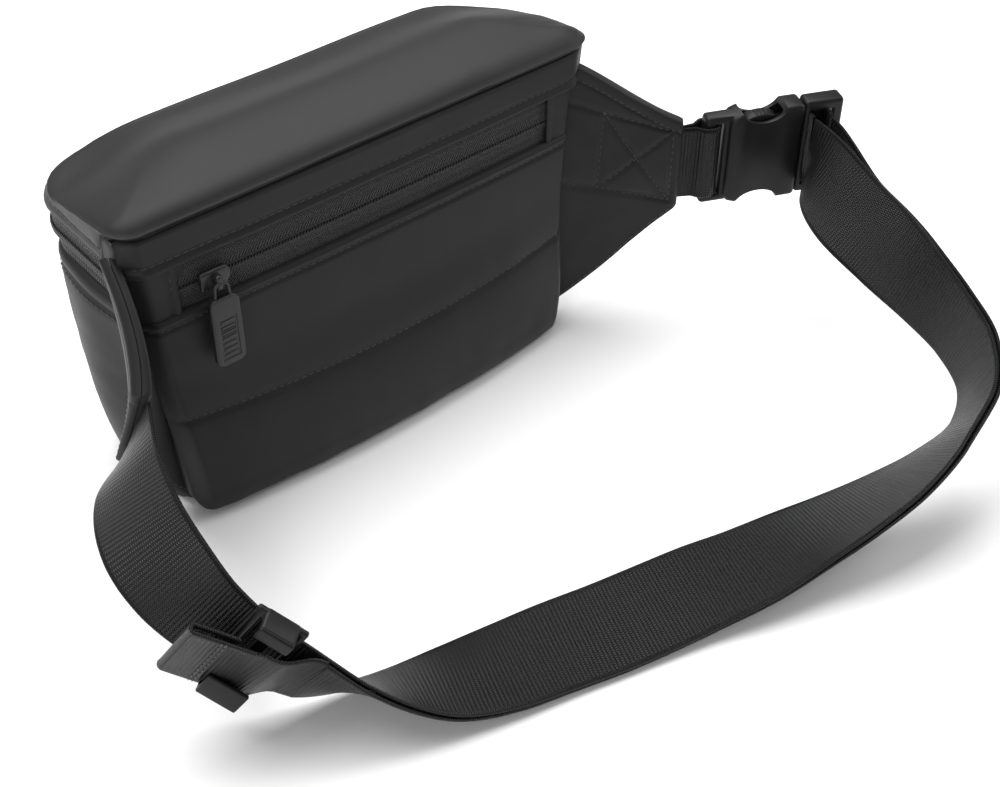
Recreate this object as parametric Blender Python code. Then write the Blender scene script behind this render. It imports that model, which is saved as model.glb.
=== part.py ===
"""Waist bag with a belt, a side release buckle and a slide adjuster.

The bag stands on its base with its back panel facing -Y and its length along X.
The origin is the middle of the base.  All sizes are in metres.
"""
import math

import bmesh
import bpy
import numpy as np
from mathutils import Matrix, Vector

MM = 0.001
GAP = 0.3 * MM

# Bag
TOP_WIDTH = 230 * MM
BASE_WIDTH = 204 * MM
SEAM_HEIGHT = 148 * MM
BACK_Y = -41 * MM
FRONT_Y = 39 * MM
SHELL_BACK_Y = -30 * MM
CORNER_BACK = 11 * MM
CORNER_FRONT = 22 * MM
CORNER_STEPS = 6
SHELL_WALL = 2.3 * MM
LINING_WALL = 1.0 * MM
BACK_BULGE = 4.0 * MM
BACK_BELLY = 9.0 * MM
BELLY_TOP = 78 * MM

# Heights on the back panel
PANEL_TOP = 106.5 * MM
ZIP_HEIGHT = 117 * MM
YOKE_BOTTOM = 127.5 * MM

# Main zip, which runs round the front between the body and the lid
RIM_HEIGHT = 110 * MM
MAIN_ZIP_HEIGHT = 120.5 * MM
HEM_HEIGHT = 131 * MM
CROWN_HEIGHT = 157 * MM
CROWN_ROUND = 36 * MM
ZIP_INSET = 2.0 * MM
TAPE_THICK = 1.1 * MM
LID_WALL = 3.0 * MM

# Wings
WING_ANGLE = math.radians(24.7)
WING_ROOT_Y = -33.7 * MM
WING_LENGTH = 58 * MM
WING_LAYER = 3.6 * MM
WING_LOW = 8 * MM
WING_HIGH = 135 * MM
RIGHT_WING_END = 45 * MM

# Buckle, in its own directions: u along the pull, v away from the waist, z up
BUCKLE_FROM_WING = 13 * MM
BUCKLE_HEIGHT = 76 * MM
FEMALE_LENGTH = 46 * MM
FEMALE_TALL = 50 * MM
FEMALE_THICK = 13 * MM
MALE_START = 46.5 * MM
MALE_END = 66 * MM
MALE_THICK = 9.6 * MM
END_BAR = 54.5 * MM

# Webbing
WEB_WIDTH = 38 * MM
WEB_THICK = 1.6 * MM
LAYER_STEP = 2.3 * MM
ACROSS = 3

# Belt route from the buckle round to the left wing: x, y, z of the inner layer in
# millimetres and its lean in degrees, 0 upright and 90 lying with its inner face up
ROUTE = [
    (215.9, -91.5, 76, 0), (207.5, -108, 74, 26), (201, -129, 69, 42), (196.5, -154, 65, 32),
    (191, -180, 61, 14), (184.5, -204, 57, 5), (175.5, -224, 52, 8), (160, -236, 45, 23),
    (138, -238, 36, 42), (115, -236, 29, 59), (91, -231, 23, 72), (68, -225, 18, 84),
    (46, -220, 14.5, 95), (25, -214, 12, 104), (4, -209, 10.5, 108), (-16, -204, 9.5, 108),
    (-37, -198, 9, 105), (-59, -192, 8.5, 98), (-79, -185, 9, 84), (-97, -177, 12.5, 61),
    (-113, -168, 18.5, 37), (-127, -157.5, 27, 13), (-139, -145, 38, -4),
    (-147.5, -131, 50, -24), (-151.5, -115, 61, -46), (-151, -97, 70, -54),
    (-144, -78, 77, -46), (-131, -62, 80, -26),
]
# Places along the route, from 0 at the buckle to 1 at the left wing
RUN_FROM = 0.12
RUN_TO = 0.66
ADJUSTER_AT = 0.815
TAIL_LIKE = 0.775
TAIL_LENGTH = 25 * MM
TAIL_THICK = 2.4 * MM


# ---------------------------------------------------------------- general helpers

def clear_scene():
    """Remove what is in the scene, so that the part starts empty."""
    for obj in list(bpy.data.objects):
        bpy.data.objects.remove(obj, do_unlink=True)


def material(name, colour, roughness, metallic=0.0):
    """Return the named Principled material, made once."""
    found = bpy.data.materials.get(name)
    if found:
        return found
    mat = bpy.data.materials.new(name)
    mat.use_nodes = True
    shader = mat.node_tree.nodes["Principled BSDF"]
    shader.inputs["Base Color"].default_value = (*colour, 1.0)
    shader.inputs["Roughness"].default_value = roughness
    shader.inputs["Metallic"].default_value = metallic
    return mat


def coated(node):
    return material("coated_fabric_" + node, (0.030, 0.028, 0.029), 0.55)


def webbing(node):
    return material("webbing_" + node, (0.022, 0.022, 0.023), 0.45)


def acetal(node):
    return material("acetal_" + node, (0.035, 0.036, 0.038), 0.38)


def zip_fabric(node):
    return material("zip_fabric_" + node, (0.018, 0.018, 0.018), 0.7)


def zip_metal(node):
    return material("zip_metal_" + node, (0.05, 0.05, 0.052), 0.3, 0.8)


def new_object(name, verts, faces, mat, parent=None):
    """Make one closed mesh object with its faces pointing out."""
    mesh = bpy.data.meshes.new(name)
    mesh.from_pydata([tuple(v) for v in verts], [], faces)
    bm = bmesh.new()
    bm.from_mesh(mesh)
    bmesh.ops.recalc_face_normals(bm, faces=bm.faces)
    bm.to_mesh(mesh)
    bm.free()
    mesh.shade_smooth()
    mesh.set_sharp_from_angle(angle=math.radians(35))
    mesh.materials.append(mat)
    obj = bpy.data.objects.new(name, mesh)
    bpy.context.scene.collection.objects.link(obj)
    obj.parent = parent
    return obj


def skin_rings(rings, closed_ends=True, around=False):
    """Faces between equal rings of points; around joins the last ring to the first."""
    count = len(rings[0])
    faces = []
    pairs = len(rings) if around else len(rings) - 1
    for i in range(pairs):
        low = i * count
        high = ((i + 1) % len(rings)) * count
        for j in range(count):
            k = (j + 1) % count
            faces.append((low + j, low + k, high + k, high + j))
    if closed_ends and not around:
        faces.append(tuple(range(count - 1, -1, -1)))
        faces.append(tuple(range((len(rings) - 1) * count, len(rings) * count)))
    return faces


def loft(name, rings, mat, parent=None):
    """Closed solid through a list of rings, with flat caps."""
    verts = [p for ring in rings for p in ring]
    return new_object(name, verts, skin_rings(rings), mat, parent)


def two_sided(name, front, back, mat, parent=None):
    """Closed solid between two equal grids of points, rows by columns."""
    rows = len(front)
    cols = len(front[0])
    verts = [p for row in front for p in row] + [p for row in back for p in row]
    shift = rows * cols
    faces = []
    for i in range(rows - 1):
        for j in range(cols - 1):
            a = i * cols + j
            quad = (a, a + 1, a + cols + 1, a + cols)
            faces.append(quad)
            faces.append(tuple(v + shift for v in reversed(quad)))
    edge = [j for j in range(cols)]
    edge += [i * cols + cols - 1 for i in range(1, rows)]
    edge += [(rows - 1) * cols + j for j in range(cols - 2, -1, -1)]
    edge += [i * cols for i in range(rows - 2, 0, -1)]
    for a, b in zip(edge, edge[1:] + edge[:1]):
        faces.append((b, a, a + shift, b + shift))
    return new_object(name, verts, faces, mat, parent)


def box(name, low, high, mat, parent=None, bevel=0.0):
    """Box between two corners, with its edges rounded where bevel is given."""
    x0, y0, z0 = low
    x1, y1, z1 = high
    rings = [
        [(x0, y0, z), (x1, y0, z), (x1, y1, z), (x0, y1, z)] for z in (z0, z1)
    ]
    obj = loft(name, rings, mat, parent)
    if bevel:
        mod = obj.modifiers.new("round", "BEVEL")
        mod.width = bevel
        mod.segments = 2
        mod.limit_method = "ANGLE"
    return obj


def cut(obj, cutter):
    """Take the cutter away from the object, and leave the cutter out of the build."""
    mod = obj.modifiers.new("cut_" + cutter.name, "BOOLEAN")
    mod.operation = "DIFFERENCE"
    mod.object = cutter
    cutter.hide_render = True
    cutter.display_type = "WIRE"


def join(obj, extra):
    """Join the extra solid to the object."""
    mod = obj.modifiers.new("join_" + extra.name, "BOOLEAN")
    mod.operation = "UNION"
    mod.object = extra
    extra.hide_render = True
    extra.display_type = "WIRE"


def empty(name, place, turn=0.0, parent=None):
    """Empty that stands on a joint's axis and carries the pieces that move with it."""
    obj = bpy.data.objects.new(name, None)
    bpy.context.scene.collection.objects.link(obj)
    obj.parent = parent
    obj.location = place
    obj.rotation_euler = (0, 0, turn)
    return obj


def smooth(t):
    t = min(max(t, 0.0), 1.0)
    return t * t * (3 - 2 * t)


def mix(a, b, t):
    return a + (b - a) * t


# ---------------------------------------------------------------- bag outline

def half_width(z):
    """Half of the bag's width at a height."""
    return mix(BASE_WIDTH, TOP_WIDTH, z / SEAM_HEIGHT) / 2


def plan(z, inset, back_y=BACK_Y, level=None, front_round=CORNER_FRONT):
    """Ring of points round the bag at a height, drawn in by an inset."""
    level = z if level is None else level
    half = half_width(z) - inset
    back = back_y + inset
    front = FRONT_Y - inset
    rb = max(CORNER_BACK - inset, 1.5 * MM)
    rf = max(front_round - inset, 3 * MM)
    corners = [
        (half - rb, back + rb, rb, -90), (half - rf, front - rf, rf, 0),
        (-half + rf, front - rf, rf, 90), (-half + rb, back + rb, rb, 180),
    ]
    ring = []
    for cx, cy, r, start in corners:
        for i in range(CORNER_STEPS + 1):
            a = math.radians(start + 90 * i / CORNER_STEPS)
            ring.append((cx + r * math.cos(a), cy + r * math.sin(a), level))
    return ring


def back_surface(x, z):
    """Outer Y of the padded back panel: proud in the middle, rounded at the sides."""
    across = x / half_width(z)
    up = min(z / PANEL_TOP, 1.0)
    swell = BACK_BULGE * (1 - across ** 2) * math.sin(math.pi * (0.15 + 0.75 * up))
    roll = 5.5 * MM * smooth((abs(across) - 0.93) / 0.07)
    belly = BACK_BELLY * (1 - 0.45 * across ** 2) * smooth((BELLY_TOP - z) / (60 * MM))
    foot = 7.0 * MM * smooth((12 * MM - z) / (10 * MM))
    return BACK_Y - swell - belly + roll + foot


def back_layer(name, z0, z1, inner, outer, mat, side=2.0 * MM, rows=4, cols=18):
    """One layer of the back, between two surfaces given as functions of x and z."""
    front = []
    back = []
    for i in range(rows + 1):
        z = mix(z0, z1, i / rows)
        reach = half_width(z) - side
        xs = [reach * math.sin(math.pi / 2 * (2 * j / cols - 1)) for j in range(cols + 1)]
        front.append([(x, outer(x, z), z) for x in xs])
        back.append([(x, inner(x, z), z) for x in xs])
    return two_sided(name, front, back, mat)


def flat(y):
    return lambda x, z: y


# ---------------------------------------------------------------- bag body

def body_shell():
    """Padded tub of the bag: base, sides and front, open at the top."""
    outer = [
        (0, 7 * MM), (1.2 * MM, 3.4 * MM), (3.4 * MM, 1.2 * MM), (7 * MM, 0), (40 * MM, 0),
        (75 * MM, 0), (RIM_HEIGHT - 0.4 * MM, 0), (RIM_HEIGHT, ZIP_INSET),
        (MAIN_ZIP_HEIGHT - 0.3 * MM, ZIP_INSET),
    ]
    thick = ZIP_INSET + SHELL_WALL
    inner = [
        (MAIN_ZIP_HEIGHT - 0.3 * MM, thick), (75 * MM, thick), (40 * MM, thick),
        (8 * MM, thick), (4.5 * MM, thick + 3 * MM),
    ]
    rings = [plan(z, inset, SHELL_BACK_Y) for z, inset in outer]
    rings += [plan(z, inset, SHELL_BACK_Y) for z, inset in inner]
    return loft("body_shell", rings, coated("body_shell"))


def main_lining():
    """Thin lining inside the tub."""
    start = ZIP_INSET + SHELL_WALL + GAP
    end = start + LINING_WALL
    outer = [(5.0 * MM, start + 3.2 * MM), (9 * MM, start), (60 * MM, start), (116 * MM, start)]
    inner = [(116 * MM, end), (60 * MM, end), (10 * MM, end), (6.2 * MM, end + 3 * MM)]
    rings = [plan(z, inset, SHELL_BACK_Y) for z, inset in outer + inner]
    return loft("main_lining", rings, zip_fabric("main_lining"))


def back_parts():
    """Foam, pocket lining, zip tapes, yoke and padded panel, from the inside out."""
    y = SHELL_BACK_Y - GAP
    foam_y = y - 3.2 * MM
    back_layer("back_foam", 4 * MM, 145.5 * MM, flat(y), flat(foam_y),
               material("foam", (0.05, 0.05, 0.05), 0.9), 6 * MM, 6, 10)
    lining_in = foam_y - GAP
    lining_out = lining_in - 1.0 * MM
    back_layer("rear_pocket_lining", 5 * MM, 145 * MM, flat(lining_in), flat(lining_out),
               zip_fabric("rear_pocket_lining"), 4 * MM, 6, 10)
    inner = flat(lining_out - GAP)
    tape = lambda x, z: back_surface(x, z) + 3.0 * MM
    back_layer("back_panel", 3.5 * MM, PANEL_TOP, inner, back_surface,
               coated("back_panel"), 0.6 * MM, 10, 24)
    back_layer("rear_zip_tape_lower", PANEL_TOP + GAP, ZIP_HEIGHT - GAP / 2, inner, tape,
               zip_fabric("rear_zip_tape_lower"), 3 * MM, 1, 18)
    back_layer("rear_zip_tape_upper", ZIP_HEIGHT + GAP / 2, YOKE_BOTTOM - GAP, inner, tape,
               zip_fabric("rear_zip_tape_upper"), 3 * MM, 1, 18)
    back_layer("back_yoke", YOKE_BOTTOM, SEAM_HEIGHT - 2.3 * MM, inner, back_surface,
               coated("back_yoke"), 0.6 * MM, 4, 24)


def zip_end_tabs():
    """Fabric tabs that cover the two ends of the rear zip."""
    for side, name in ((-1, "rear_zip_end_tab_left"), (1, "rear_zip_end_tab_right")):
        front = []
        back = []
        for i in range(3):
            z = mix(PANEL_TOP + 2 * GAP, YOKE_BOTTOM - 2 * GAP, i / 2)
            xs = [side * mix(93 * MM, half_width(z) - 5 * MM, j / 4) for j in range(5)]
            front.append([(x, back_surface(x, z) + 0.9 * MM, z) for x in xs])
            back.append([(x, back_surface(x, z) + 2.6 * MM, z) for x in xs])
        two_sided(name, front, back, coated(name))


def main_zip_tape(name, z0, z1):
    """Tape of the main zip: a band round the ends and the front, open at the back."""
    start = -25 * MM
    low = plan(z0, 0.4 * MM, SHELL_BACK_Y)
    steps = len(low)
    band = [j for j in range(steps) if low[j][1] > start]
    front = []
    back = []
    for z in (z0, z1):
        outer_ring = plan(z, ZIP_INSET - GAP - TAPE_THICK, SHELL_BACK_Y)
        inner_ring = plan(z, ZIP_INSET - GAP, SHELL_BACK_Y)
        ends = [half_width(z) - ZIP_INSET + GAP, half_width(z) - ZIP_INSET + GAP + TAPE_THICK]
        outer = [outer_ring[j] for j in band]
        inner = [inner_ring[j] for j in band]
        front.append([(ends[1], start, z)] + outer + [(-ends[1], start, z)])
        back.append([(ends[0], start, z)] + inner + [(-ends[0], start, z)])
    two_sided(name, front, back, zip_fabric(name))


def top_panel():
    """Lid: a crowned cap with a short skirt that stops above the main zip."""
    hinge_level = SEAM_HEIGHT - 1.6 * MM

    def rim(y):
        return mix(hinge_level, HEM_HEIGHT, smooth((y + 28.5 * MM) / (5 * MM)))

    outer = [(0.0, 0.0), (0.5, -0.3 * MM), (1.0, 0.4 * MM)]
    top = [(150.2 * MM, 3.6 * MM), (153.0 * MM, 9.5 * MM), (155.4 * MM, 19 * MM),
           (CROWN_HEIGHT, 32 * MM)]
    rings = []

    def skirt(t, inset):
        ring = []
        for x, y, _ in plan(mix(HEM_HEIGHT, hinge_level, t), inset):
            ring.append((x, y, mix(rim(y), SEAM_HEIGHT, t)))
        return ring

    for t, inset in outer:
        rings.append(skirt(t, inset))
    for z, inset in top:
        rings.append(plan(SEAM_HEIGHT, inset, level=z, front_round=CROWN_ROUND))
    for z, inset in reversed(top):
        rings.append(plan(SEAM_HEIGHT, inset + LID_WALL * 0.8, level=z - LID_WALL,
                          front_round=CROWN_ROUND))
    rings.append(skirt(0.5, LID_WALL))
    rings.append(skirt(0.0, LID_WALL))
    verts = [p for ring in rings for p in ring]
    faces = skin_rings(rings[:7], closed_ends=False)
    count = len(rings[0])
    shift = 7 * count
    inner_faces = skin_rings(rings[7:], closed_ends=False)
    faces += [tuple(v + shift for v in f) for f in inner_faces]
    faces.append(tuple(range(6 * count, 7 * count)))
    faces.append(tuple(range(shift, shift + count)))
    last = (len(rings) - 1) * count
    for j in range(count):
        k = (j + 1) % count
        faces.append((j, k, last + k, last + j))
    new_object("top_panel", verts, faces, coated("top_panel"))


# ---------------------------------------------------------------- zip sliders and pulls

def zip_slider(prefix, place, facing, tab_length):
    """Slider with a bridge, a wire link and a soft tab; facing is -1 on the back."""
    slider = empty(prefix + "_slider_base", place)
    link_y = facing * 5.2 * MM
    body = box(prefix + "_slider", (-5.5 * MM, min(0, facing * 3.4 * MM), -3.6 * MM),
               (5.5 * MM, max(0, facing * 3.4 * MM), 3.6 * MM),
               zip_metal(prefix + "_slider"), slider, 0.8 * MM)
    lo, hi = sorted((facing * 2.5 * MM, facing * 7.4 * MM))
    bridge = box(prefix + "_bridge_form", (-1.6 * MM, lo, -3.0 * MM),
                 (1.6 * MM, hi, 3.0 * MM), zip_metal(prefix + "_slider"), slider)
    lo, hi = sorted((facing * 3.8 * MM, facing * 6.4 * MM))
    hole = box(prefix + "_bridge_hole", (-3 * MM, lo, -1.6 * MM),
               (3 * MM, hi, 1.6 * MM), zip_metal(prefix + "_slider"), slider)
    cut(bridge, hole)
    join(body, bridge)
    axis = empty(prefix + "_pull_axis", (0, link_y, 0), parent=slider)
    wire_link(prefix + "_pull_link", axis, facing)
    pull_tab(prefix + "_pull_tab", axis, facing, tab_length)


def wire_link(name, parent, facing):
    """Closed wire loop: its upper bar passes under the slider's bridge."""
    wide = 3.4 * MM
    drop = 8.5 * MM
    r = 1.6 * MM
    centre = []
    for cx, cz, start in ((wide - r, -r, 90), (wide - r, -drop + r, 0),
                          (-wide + r, -drop + r, -90), (-wide + r, -r, -180)):
        for i in range(4):
            a = math.radians(start - 30 * i)
            centre.append((cx + r * math.cos(a), cz + r * math.sin(a)))
    wire = 0.75 * MM
    rings = []
    count = len(centre)
    for i, (x, z) in enumerate(centre):
        before = Vector(centre[i - 1])
        after = Vector(centre[(i + 1) % count])
        along = (after - before).normalized()
        side = Vector((-along.y, along.x))
        ring = []
        for j in range(8):
            a = 2 * math.pi * j / 8
            out = wire * math.cos(a)
            ring.append((x + side.x * out, wire * math.sin(a) * facing, z + side.y * out))
        rings.append(ring)
    verts = [p for ring in rings for p in ring]
    faces = skin_rings(rings, around=True)
    new_object(name, verts, faces, zip_metal(name), parent)


def pull_tab(name, parent, facing, length):
    """Soft moulded tab with a slot for the link."""
    top = -5.9 * MM
    low_y, high_y = -1.6 * MM, 1.6 * MM
    tab = box(name, (-5.8 * MM, low_y, top - length), (5.8 * MM, high_y, top),
              material("soft_rubber_" + name, (0.03, 0.03, 0.031), 0.6), parent, 1.3 * MM)
    slot = box(name + "_slot", (-4.6 * MM, low_y * 0.72, top - 4.2 * MM),
               (4.6 * MM, high_y * 0.72, top + 2 * MM), tab.data.materials[0], parent)
    cut(tab, slot)


# ---------------------------------------------------------------- wings

def wing(side, layer, name, path, end_half, end_height, end_lean):
    """One padded layer of a wing: tall at the bag, narrow where the belt starts."""
    rows, cols = 8, 8
    front = []
    back = []
    for i in range(rows + 1):
        v = i / rows
        row_front = []
        row_back = []
        for j in range(cols + 1):
            u = j / cols
            base = Vector(path(u))
            ahead = Vector(path(min(u + 0.02, 1.0))) - Vector(path(max(u - 0.02, 0.0)))
            normal = Vector((ahead.y, -ahead.x, 0)).normalized() * side
            narrow = smooth(u) * 0.2 + u * 0.8
            low = mix(WING_LOW, end_height - end_half, narrow)
            high = mix(WING_HIGH, end_height + end_half, narrow)
            z = mix(low, high, v)
            lean = Vector(end_lean) * (z - end_height) * narrow
            taper = (half_width(z) - half_width(74 * MM)) * side * (1 - u)
            point = Vector((base.x + taper, base.y, z)) + lean
            pad = math.sin(math.pi * min(max(v, 0.02), 0.98)) ** 0.5
            pad *= min(1.0, 0.35 + 3 * u, 0.35 + 3 * (1 - u))
            thick = WING_LAYER * (0.3 + 0.7 * pad)
            near = normal * (GAP / 2 * layer)
            far = normal * ((GAP / 2 + thick) * layer)
            row_front.append(tuple(point + far))
            row_back.append(tuple(point + near))
        front.append(row_front)
        back.append(row_back)
    two_sided(name, front, back, coated(name))


def right_path(u):
    along = WING_LENGTH * u
    return (half_width(74 * MM) + 0.8 * MM + along * math.cos(WING_ANGLE),
            WING_ROOT_Y - along * math.sin(WING_ANGLE), 0)


def left_path(u):
    """The left wing is folded further back, because the belt pulls on its end."""
    x0 = -half_width(74 * MM) - 1.4 * MM
    end = (-130.5 * MM, -59 * MM)
    return (mix(x0, end[0], u), mix(WING_ROOT_Y, end[1], u), 0)


def wings():
    wing(1, 1, "right_wing_inner", right_path, 22.5 * MM, BUCKLE_HEIGHT, (0, 0, 0))
    wing(1, -1, "right_wing_outer", right_path, 22.5 * MM, BUCKLE_HEIGHT, (0, 0, 0))
    lean = (0.10, -0.42, 0)
    wing(-1, 1, "left_wing_inner", left_path, 22.0 * MM, 80 * MM, lean)
    wing(-1, -1, "left_wing_outer", left_path, 22.0 * MM, 80 * MM, lean)


# ---------------------------------------------------------------- webbing

def catmull(points, t):
    """Point on the smooth curve through equally weighted points, t from 0 to 1."""
    count = len(points) - 1
    at = min(max(t, 0.0), 1.0) * count
    i = min(int(at), count - 1)
    f = at - i
    p1, p2 = points[i], points[i + 1]
    p0 = points[i - 1] if i else 2 * p1 - p2
    p3 = points[i + 2] if i + 2 <= count else 2 * p2 - p1
    return 0.5 * ((2 * p1) + (p2 - p0) * f + (2 * p0 - 5 * p1 + 4 * p2 - p3) * f * f
                  + (3 * p1 - p0 - 3 * p2 + p3) * f ** 3)


STATIONS = [np.array(row, float) for row in ROUTE]


def belt_frame(t):
    """Centre, direction, width direction and outward direction of the inner layer."""
    here = catmull(STATIONS, t)
    step = 0.004
    ahead = catmull(STATIONS, min(t + step, 1.0))
    behind = catmull(STATIONS, max(t - step, 0.0))
    centre = Vector(here[:3]) * MM
    along = Vector(ahead[:3] - behind[:3]).normalized()
    up = (Vector((0, 0, 1)) - along * along.z).normalized()
    out = up.cross(along)
    lean = math.radians(here[3])
    width = up * math.cos(lean) + out * math.sin(lean)
    outward = out * math.cos(lean) - up * math.sin(lean)
    return centre, along, width, outward


def layer_offset(t):
    """The outer layer stands off at the buckle's bar and closes on the inner one."""
    return mix(8.4 * MM, LAYER_STEP, smooth(t / 0.10))


def belt_strip(name, start, end, offset, steps, node_material=webbing):
    """Flat woven strip along the route."""
    rings = []
    half_w = WEB_WIDTH / 2
    half_t = WEB_THICK / 2
    for i in range(steps + 1):
        t = mix(start, end, i / steps)
        centre, _, width, outward = belt_frame(t)
        centre = centre + outward * offset(t)
        under = [(mix(-1, 1, k / ACROSS), -1) for k in range(ACROSS + 1)]
        over = [(a, 1) for a, _ in reversed(under)]
        rings.append([
            tuple(centre + width * half_w * a + outward * half_t * b) for a, b in under + over
        ])
    loft(name, rings, node_material(name))


def belt():
    """Inner and outer layers, each in stretches, from the buckle to the left wing."""
    def inner(t):
        return 0.0
    cut_gap = 0.0004
    belt_strip("belt_inner_end", 0.0, RUN_FROM, inner, 16)
    belt_strip("belt_inner_run", RUN_FROM + cut_gap, RUN_TO, inner, 54)
    belt_strip("belt_left_run", RUN_TO + cut_gap, 0.995, inner, 44)
    belt_strip("belt_outer_end", 0.0, RUN_FROM, layer_offset, 16)
    belt_strip("belt_outer_run", RUN_FROM + cut_gap, RUN_TO, layer_offset, 54)
    belt_strip("belt_outer_return", RUN_TO + cut_gap, ADJUSTER_AT - 0.027, layer_offset, 17)


def path_strip(name, path, z0, z1, mat, parent):
    """Strip that stands on edge and follows a path of (u, v) points."""
    half = WEB_THICK / 2
    side = []
    for i, point in enumerate(path):
        before = Vector(path[max(i - 1, 0)])
        after = Vector(path[min(i + 1, len(path) - 1)])
        along = (after - before).normalized()
        side.append(Vector((-along.y, along.x)) * half)
    left = [Vector(p) + s for p, s in zip(path, side)]
    right = [Vector(p) - s for p, s in zip(path, side)]
    outline = left + right[::-1]
    rings = [[(p.x, p.y, z) for p in outline] for z in (z0, z1)]
    return loft(name, rings, mat, parent)


def arc(cx, cy, r, start, end, steps):
    return [(cx + r * math.cos(math.radians(mix(start, end, i / steps))),
             cy + r * math.sin(math.radians(mix(start, end, i / steps))))
            for i in range(steps + 1)]


# ---------------------------------------------------------------- buckle

def buckle_place():
    x = half_width(74 * MM) + 0.8 * MM
    reach = WING_LENGTH + BUCKLE_FROM_WING
    return (x + reach * math.cos(WING_ANGLE), WING_ROOT_Y - reach * math.sin(WING_ANGLE),
            BUCKLE_HEIGHT)


def female_half(base):
    """Housing of the buckle: a bar for the webbing, and a mouth with two side windows."""
    half = FEMALE_TALL / 2
    thick = FEMALE_THICK / 2
    body = box("buckle_female", (-2.4 * MM, -thick * 0.62, -half + 1.5 * MM),
               (FEMALE_LENGTH, thick * 0.62, half - 1.5 * MM), acetal("buckle_female"),
               base, 1.2 * MM)
    hood = box("buckle_hood_form", (11 * MM, -thick, -half), (FEMALE_LENGTH, thick, half),
               acetal("buckle_female"), base, 2.2 * MM)
    join(body, hood)
    slot = box("buckle_slot_cut", (2.4 * MM, -thick, -20 * MM), (7.3 * MM, thick, 20 * MM),
               acetal("buckle_female"), base)
    cut(body, slot)
    mouth = box("buckle_mouth_cut", (12 * MM, -3.9 * MM, -21.6 * MM),
                (FEMALE_LENGTH + 5 * MM, 3.9 * MM, 21.6 * MM), acetal("buckle_female"), base)
    cut(body, mouth)
    for sign, name in ((1, "buckle_window_upper_cut"), (-1, "buckle_window_lower_cut")):
        lo, hi = sorted((sign * 15.5 * MM, sign * 32 * MM))
        window = box(name, (16 * MM, -3.9 * MM, lo), (36 * MM, 3.9 * MM, hi),
                     acetal("buckle_female"), base)
        cut(body, window)
    webbing_loop(base)


def webbing_loop(base):
    """Webbing from the right wing round the housing's bar and back."""
    path = [(-11.6 * MM, 1.1 * MM), (-6.5 * MM, 1.8 * MM), (-3.2 * MM, 5.3 * MM)]
    path += arc(0.6 * MM, 0, 5.5 * MM, 90, -90, 10)
    path += [(-3.2 * MM, -5.3 * MM), (-6.5 * MM, -1.8 * MM), (-11.6 * MM, -1.1 * MM)]
    path_strip("right_webbing_loop", path, -19 * MM, 19 * MM, webbing("right_webbing_loop"),
               base)


def male_half(base):
    """Plug of the buckle: frame with a slot, a guide tongue, and two springy arms."""
    half = FEMALE_TALL / 2
    thick = MALE_THICK / 2
    body = box("buckle_male", (MALE_START, -thick, -half), (MALE_END, thick, half),
               acetal("buckle_male"), base, 1.6 * MM)
    tongue = box("buckle_tongue_form", (17 * MM, -2.4 * MM, -4.5 * MM),
                 (MALE_START + 3 * MM, 2.4 * MM, 4.5 * MM), acetal("buckle_male"), base)
    join(body, tongue)
    bar_half = 2.5 * MM
    slot = box("buckle_male_slot_cut", (MALE_START + 2.3 * MM, -thick * 2, -20.4 * MM),
               (END_BAR - bar_half, thick * 2, 20.4 * MM), acetal("buckle_male"), base)
    cut(body, slot)
    far_end = MALE_END - 4.6 * MM
    relief = box("buckle_end_relief_cut", (END_BAR + bar_half, -thick * 2, -20.4 * MM),
                 (far_end, thick * 2, 20.4 * MM), acetal("buckle_male"), base)
    cut(body, relief)
    for side in (1, -1):
        lo, hi = sorted((side * 2.4 * MM, side * 9 * MM))
        name = "buckle_bar_relief_cut" + ("_outer" if side > 0 else "_inner")
        face = box(name, (END_BAR - bar_half - 0.6 * MM, lo, -20.4 * MM),
                   (far_end, hi, 20.4 * MM),
                   acetal("buckle_male"), base)
        cut(body, face)
    for sign, name in ((1, "latch_arm_upper"), (-1, "latch_arm_lower")):
        arm(base, sign, name)
    turn = 4.6 * MM
    path = [(END_BAR - turn, -5.4 * MM), (END_BAR - turn, -3.5 * MM)]
    path += arc(END_BAR, 0, turn, 180, 0, 10)
    path += [(END_BAR + turn, -3.5 * MM), (END_BAR + turn, -5.4 * MM)]
    path_strip("belt_wrap", path, -19 * MM, 19 * MM, webbing("belt_wrap"), base)


def arm(base, sign, name):
    """Springy arm with a finger pad that fills the housing's window."""
    lo, hi = sorted((sign * 13.5 * MM, sign * 17.2 * MM))
    root = MALE_START - GAP
    stem = box(name, (19 * MM, -3.4 * MM, lo), (root, 3.4 * MM, hi), acetal(name), base,
               0.6 * MM)
    lo, hi = sorted((sign * 16 * MM, sign * 21.2 * MM))
    pad = box(name + "_pad_form", (17.5 * MM, -3.4 * MM, lo), (33 * MM, 3.4 * MM, hi),
              acetal(name), base, 0.8 * MM)
    join(stem, pad)


def buckle():
    base = empty("buckle_base", buckle_place(), -WING_ANGLE)
    female_half(base)
    male_half(base)


# ---------------------------------------------------------------- adjuster

def adjuster():
    """Slide adjuster on the belt, with the belt's folded end sewn round its bar."""
    centre, along, width, outward = belt_frame(ADJUSTER_AT)
    turn = Matrix((along, -width, outward)).transposed().to_4x4()
    base = empty("adjuster_base", centre + width * 2.5 * MM)
    base.rotation_euler = turn.to_euler()
    mat = acetal("tri_glide")
    low, high = 3.0 * MM, 5.8 * MM
    frame = box("tri_glide", (-10.5 * MM, -23.5 * MM, low), (10.5 * MM, 23.5 * MM, high), mat,
                base, 0.7 * MM)
    for side, name in ((-1, "tri_glide_slot_far_cut"), (1, "tri_glide_slot_near_cut")):
        lo, hi = sorted((side * 2.2 * MM, side * 7.6 * MM))
        slot = box(name, (lo, -20.2 * MM, low - 2 * MM), (hi, 20.2 * MM, high + 2 * MM),
                   mat, base)
        cut(frame, slot)
    belt_tail()


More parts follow.
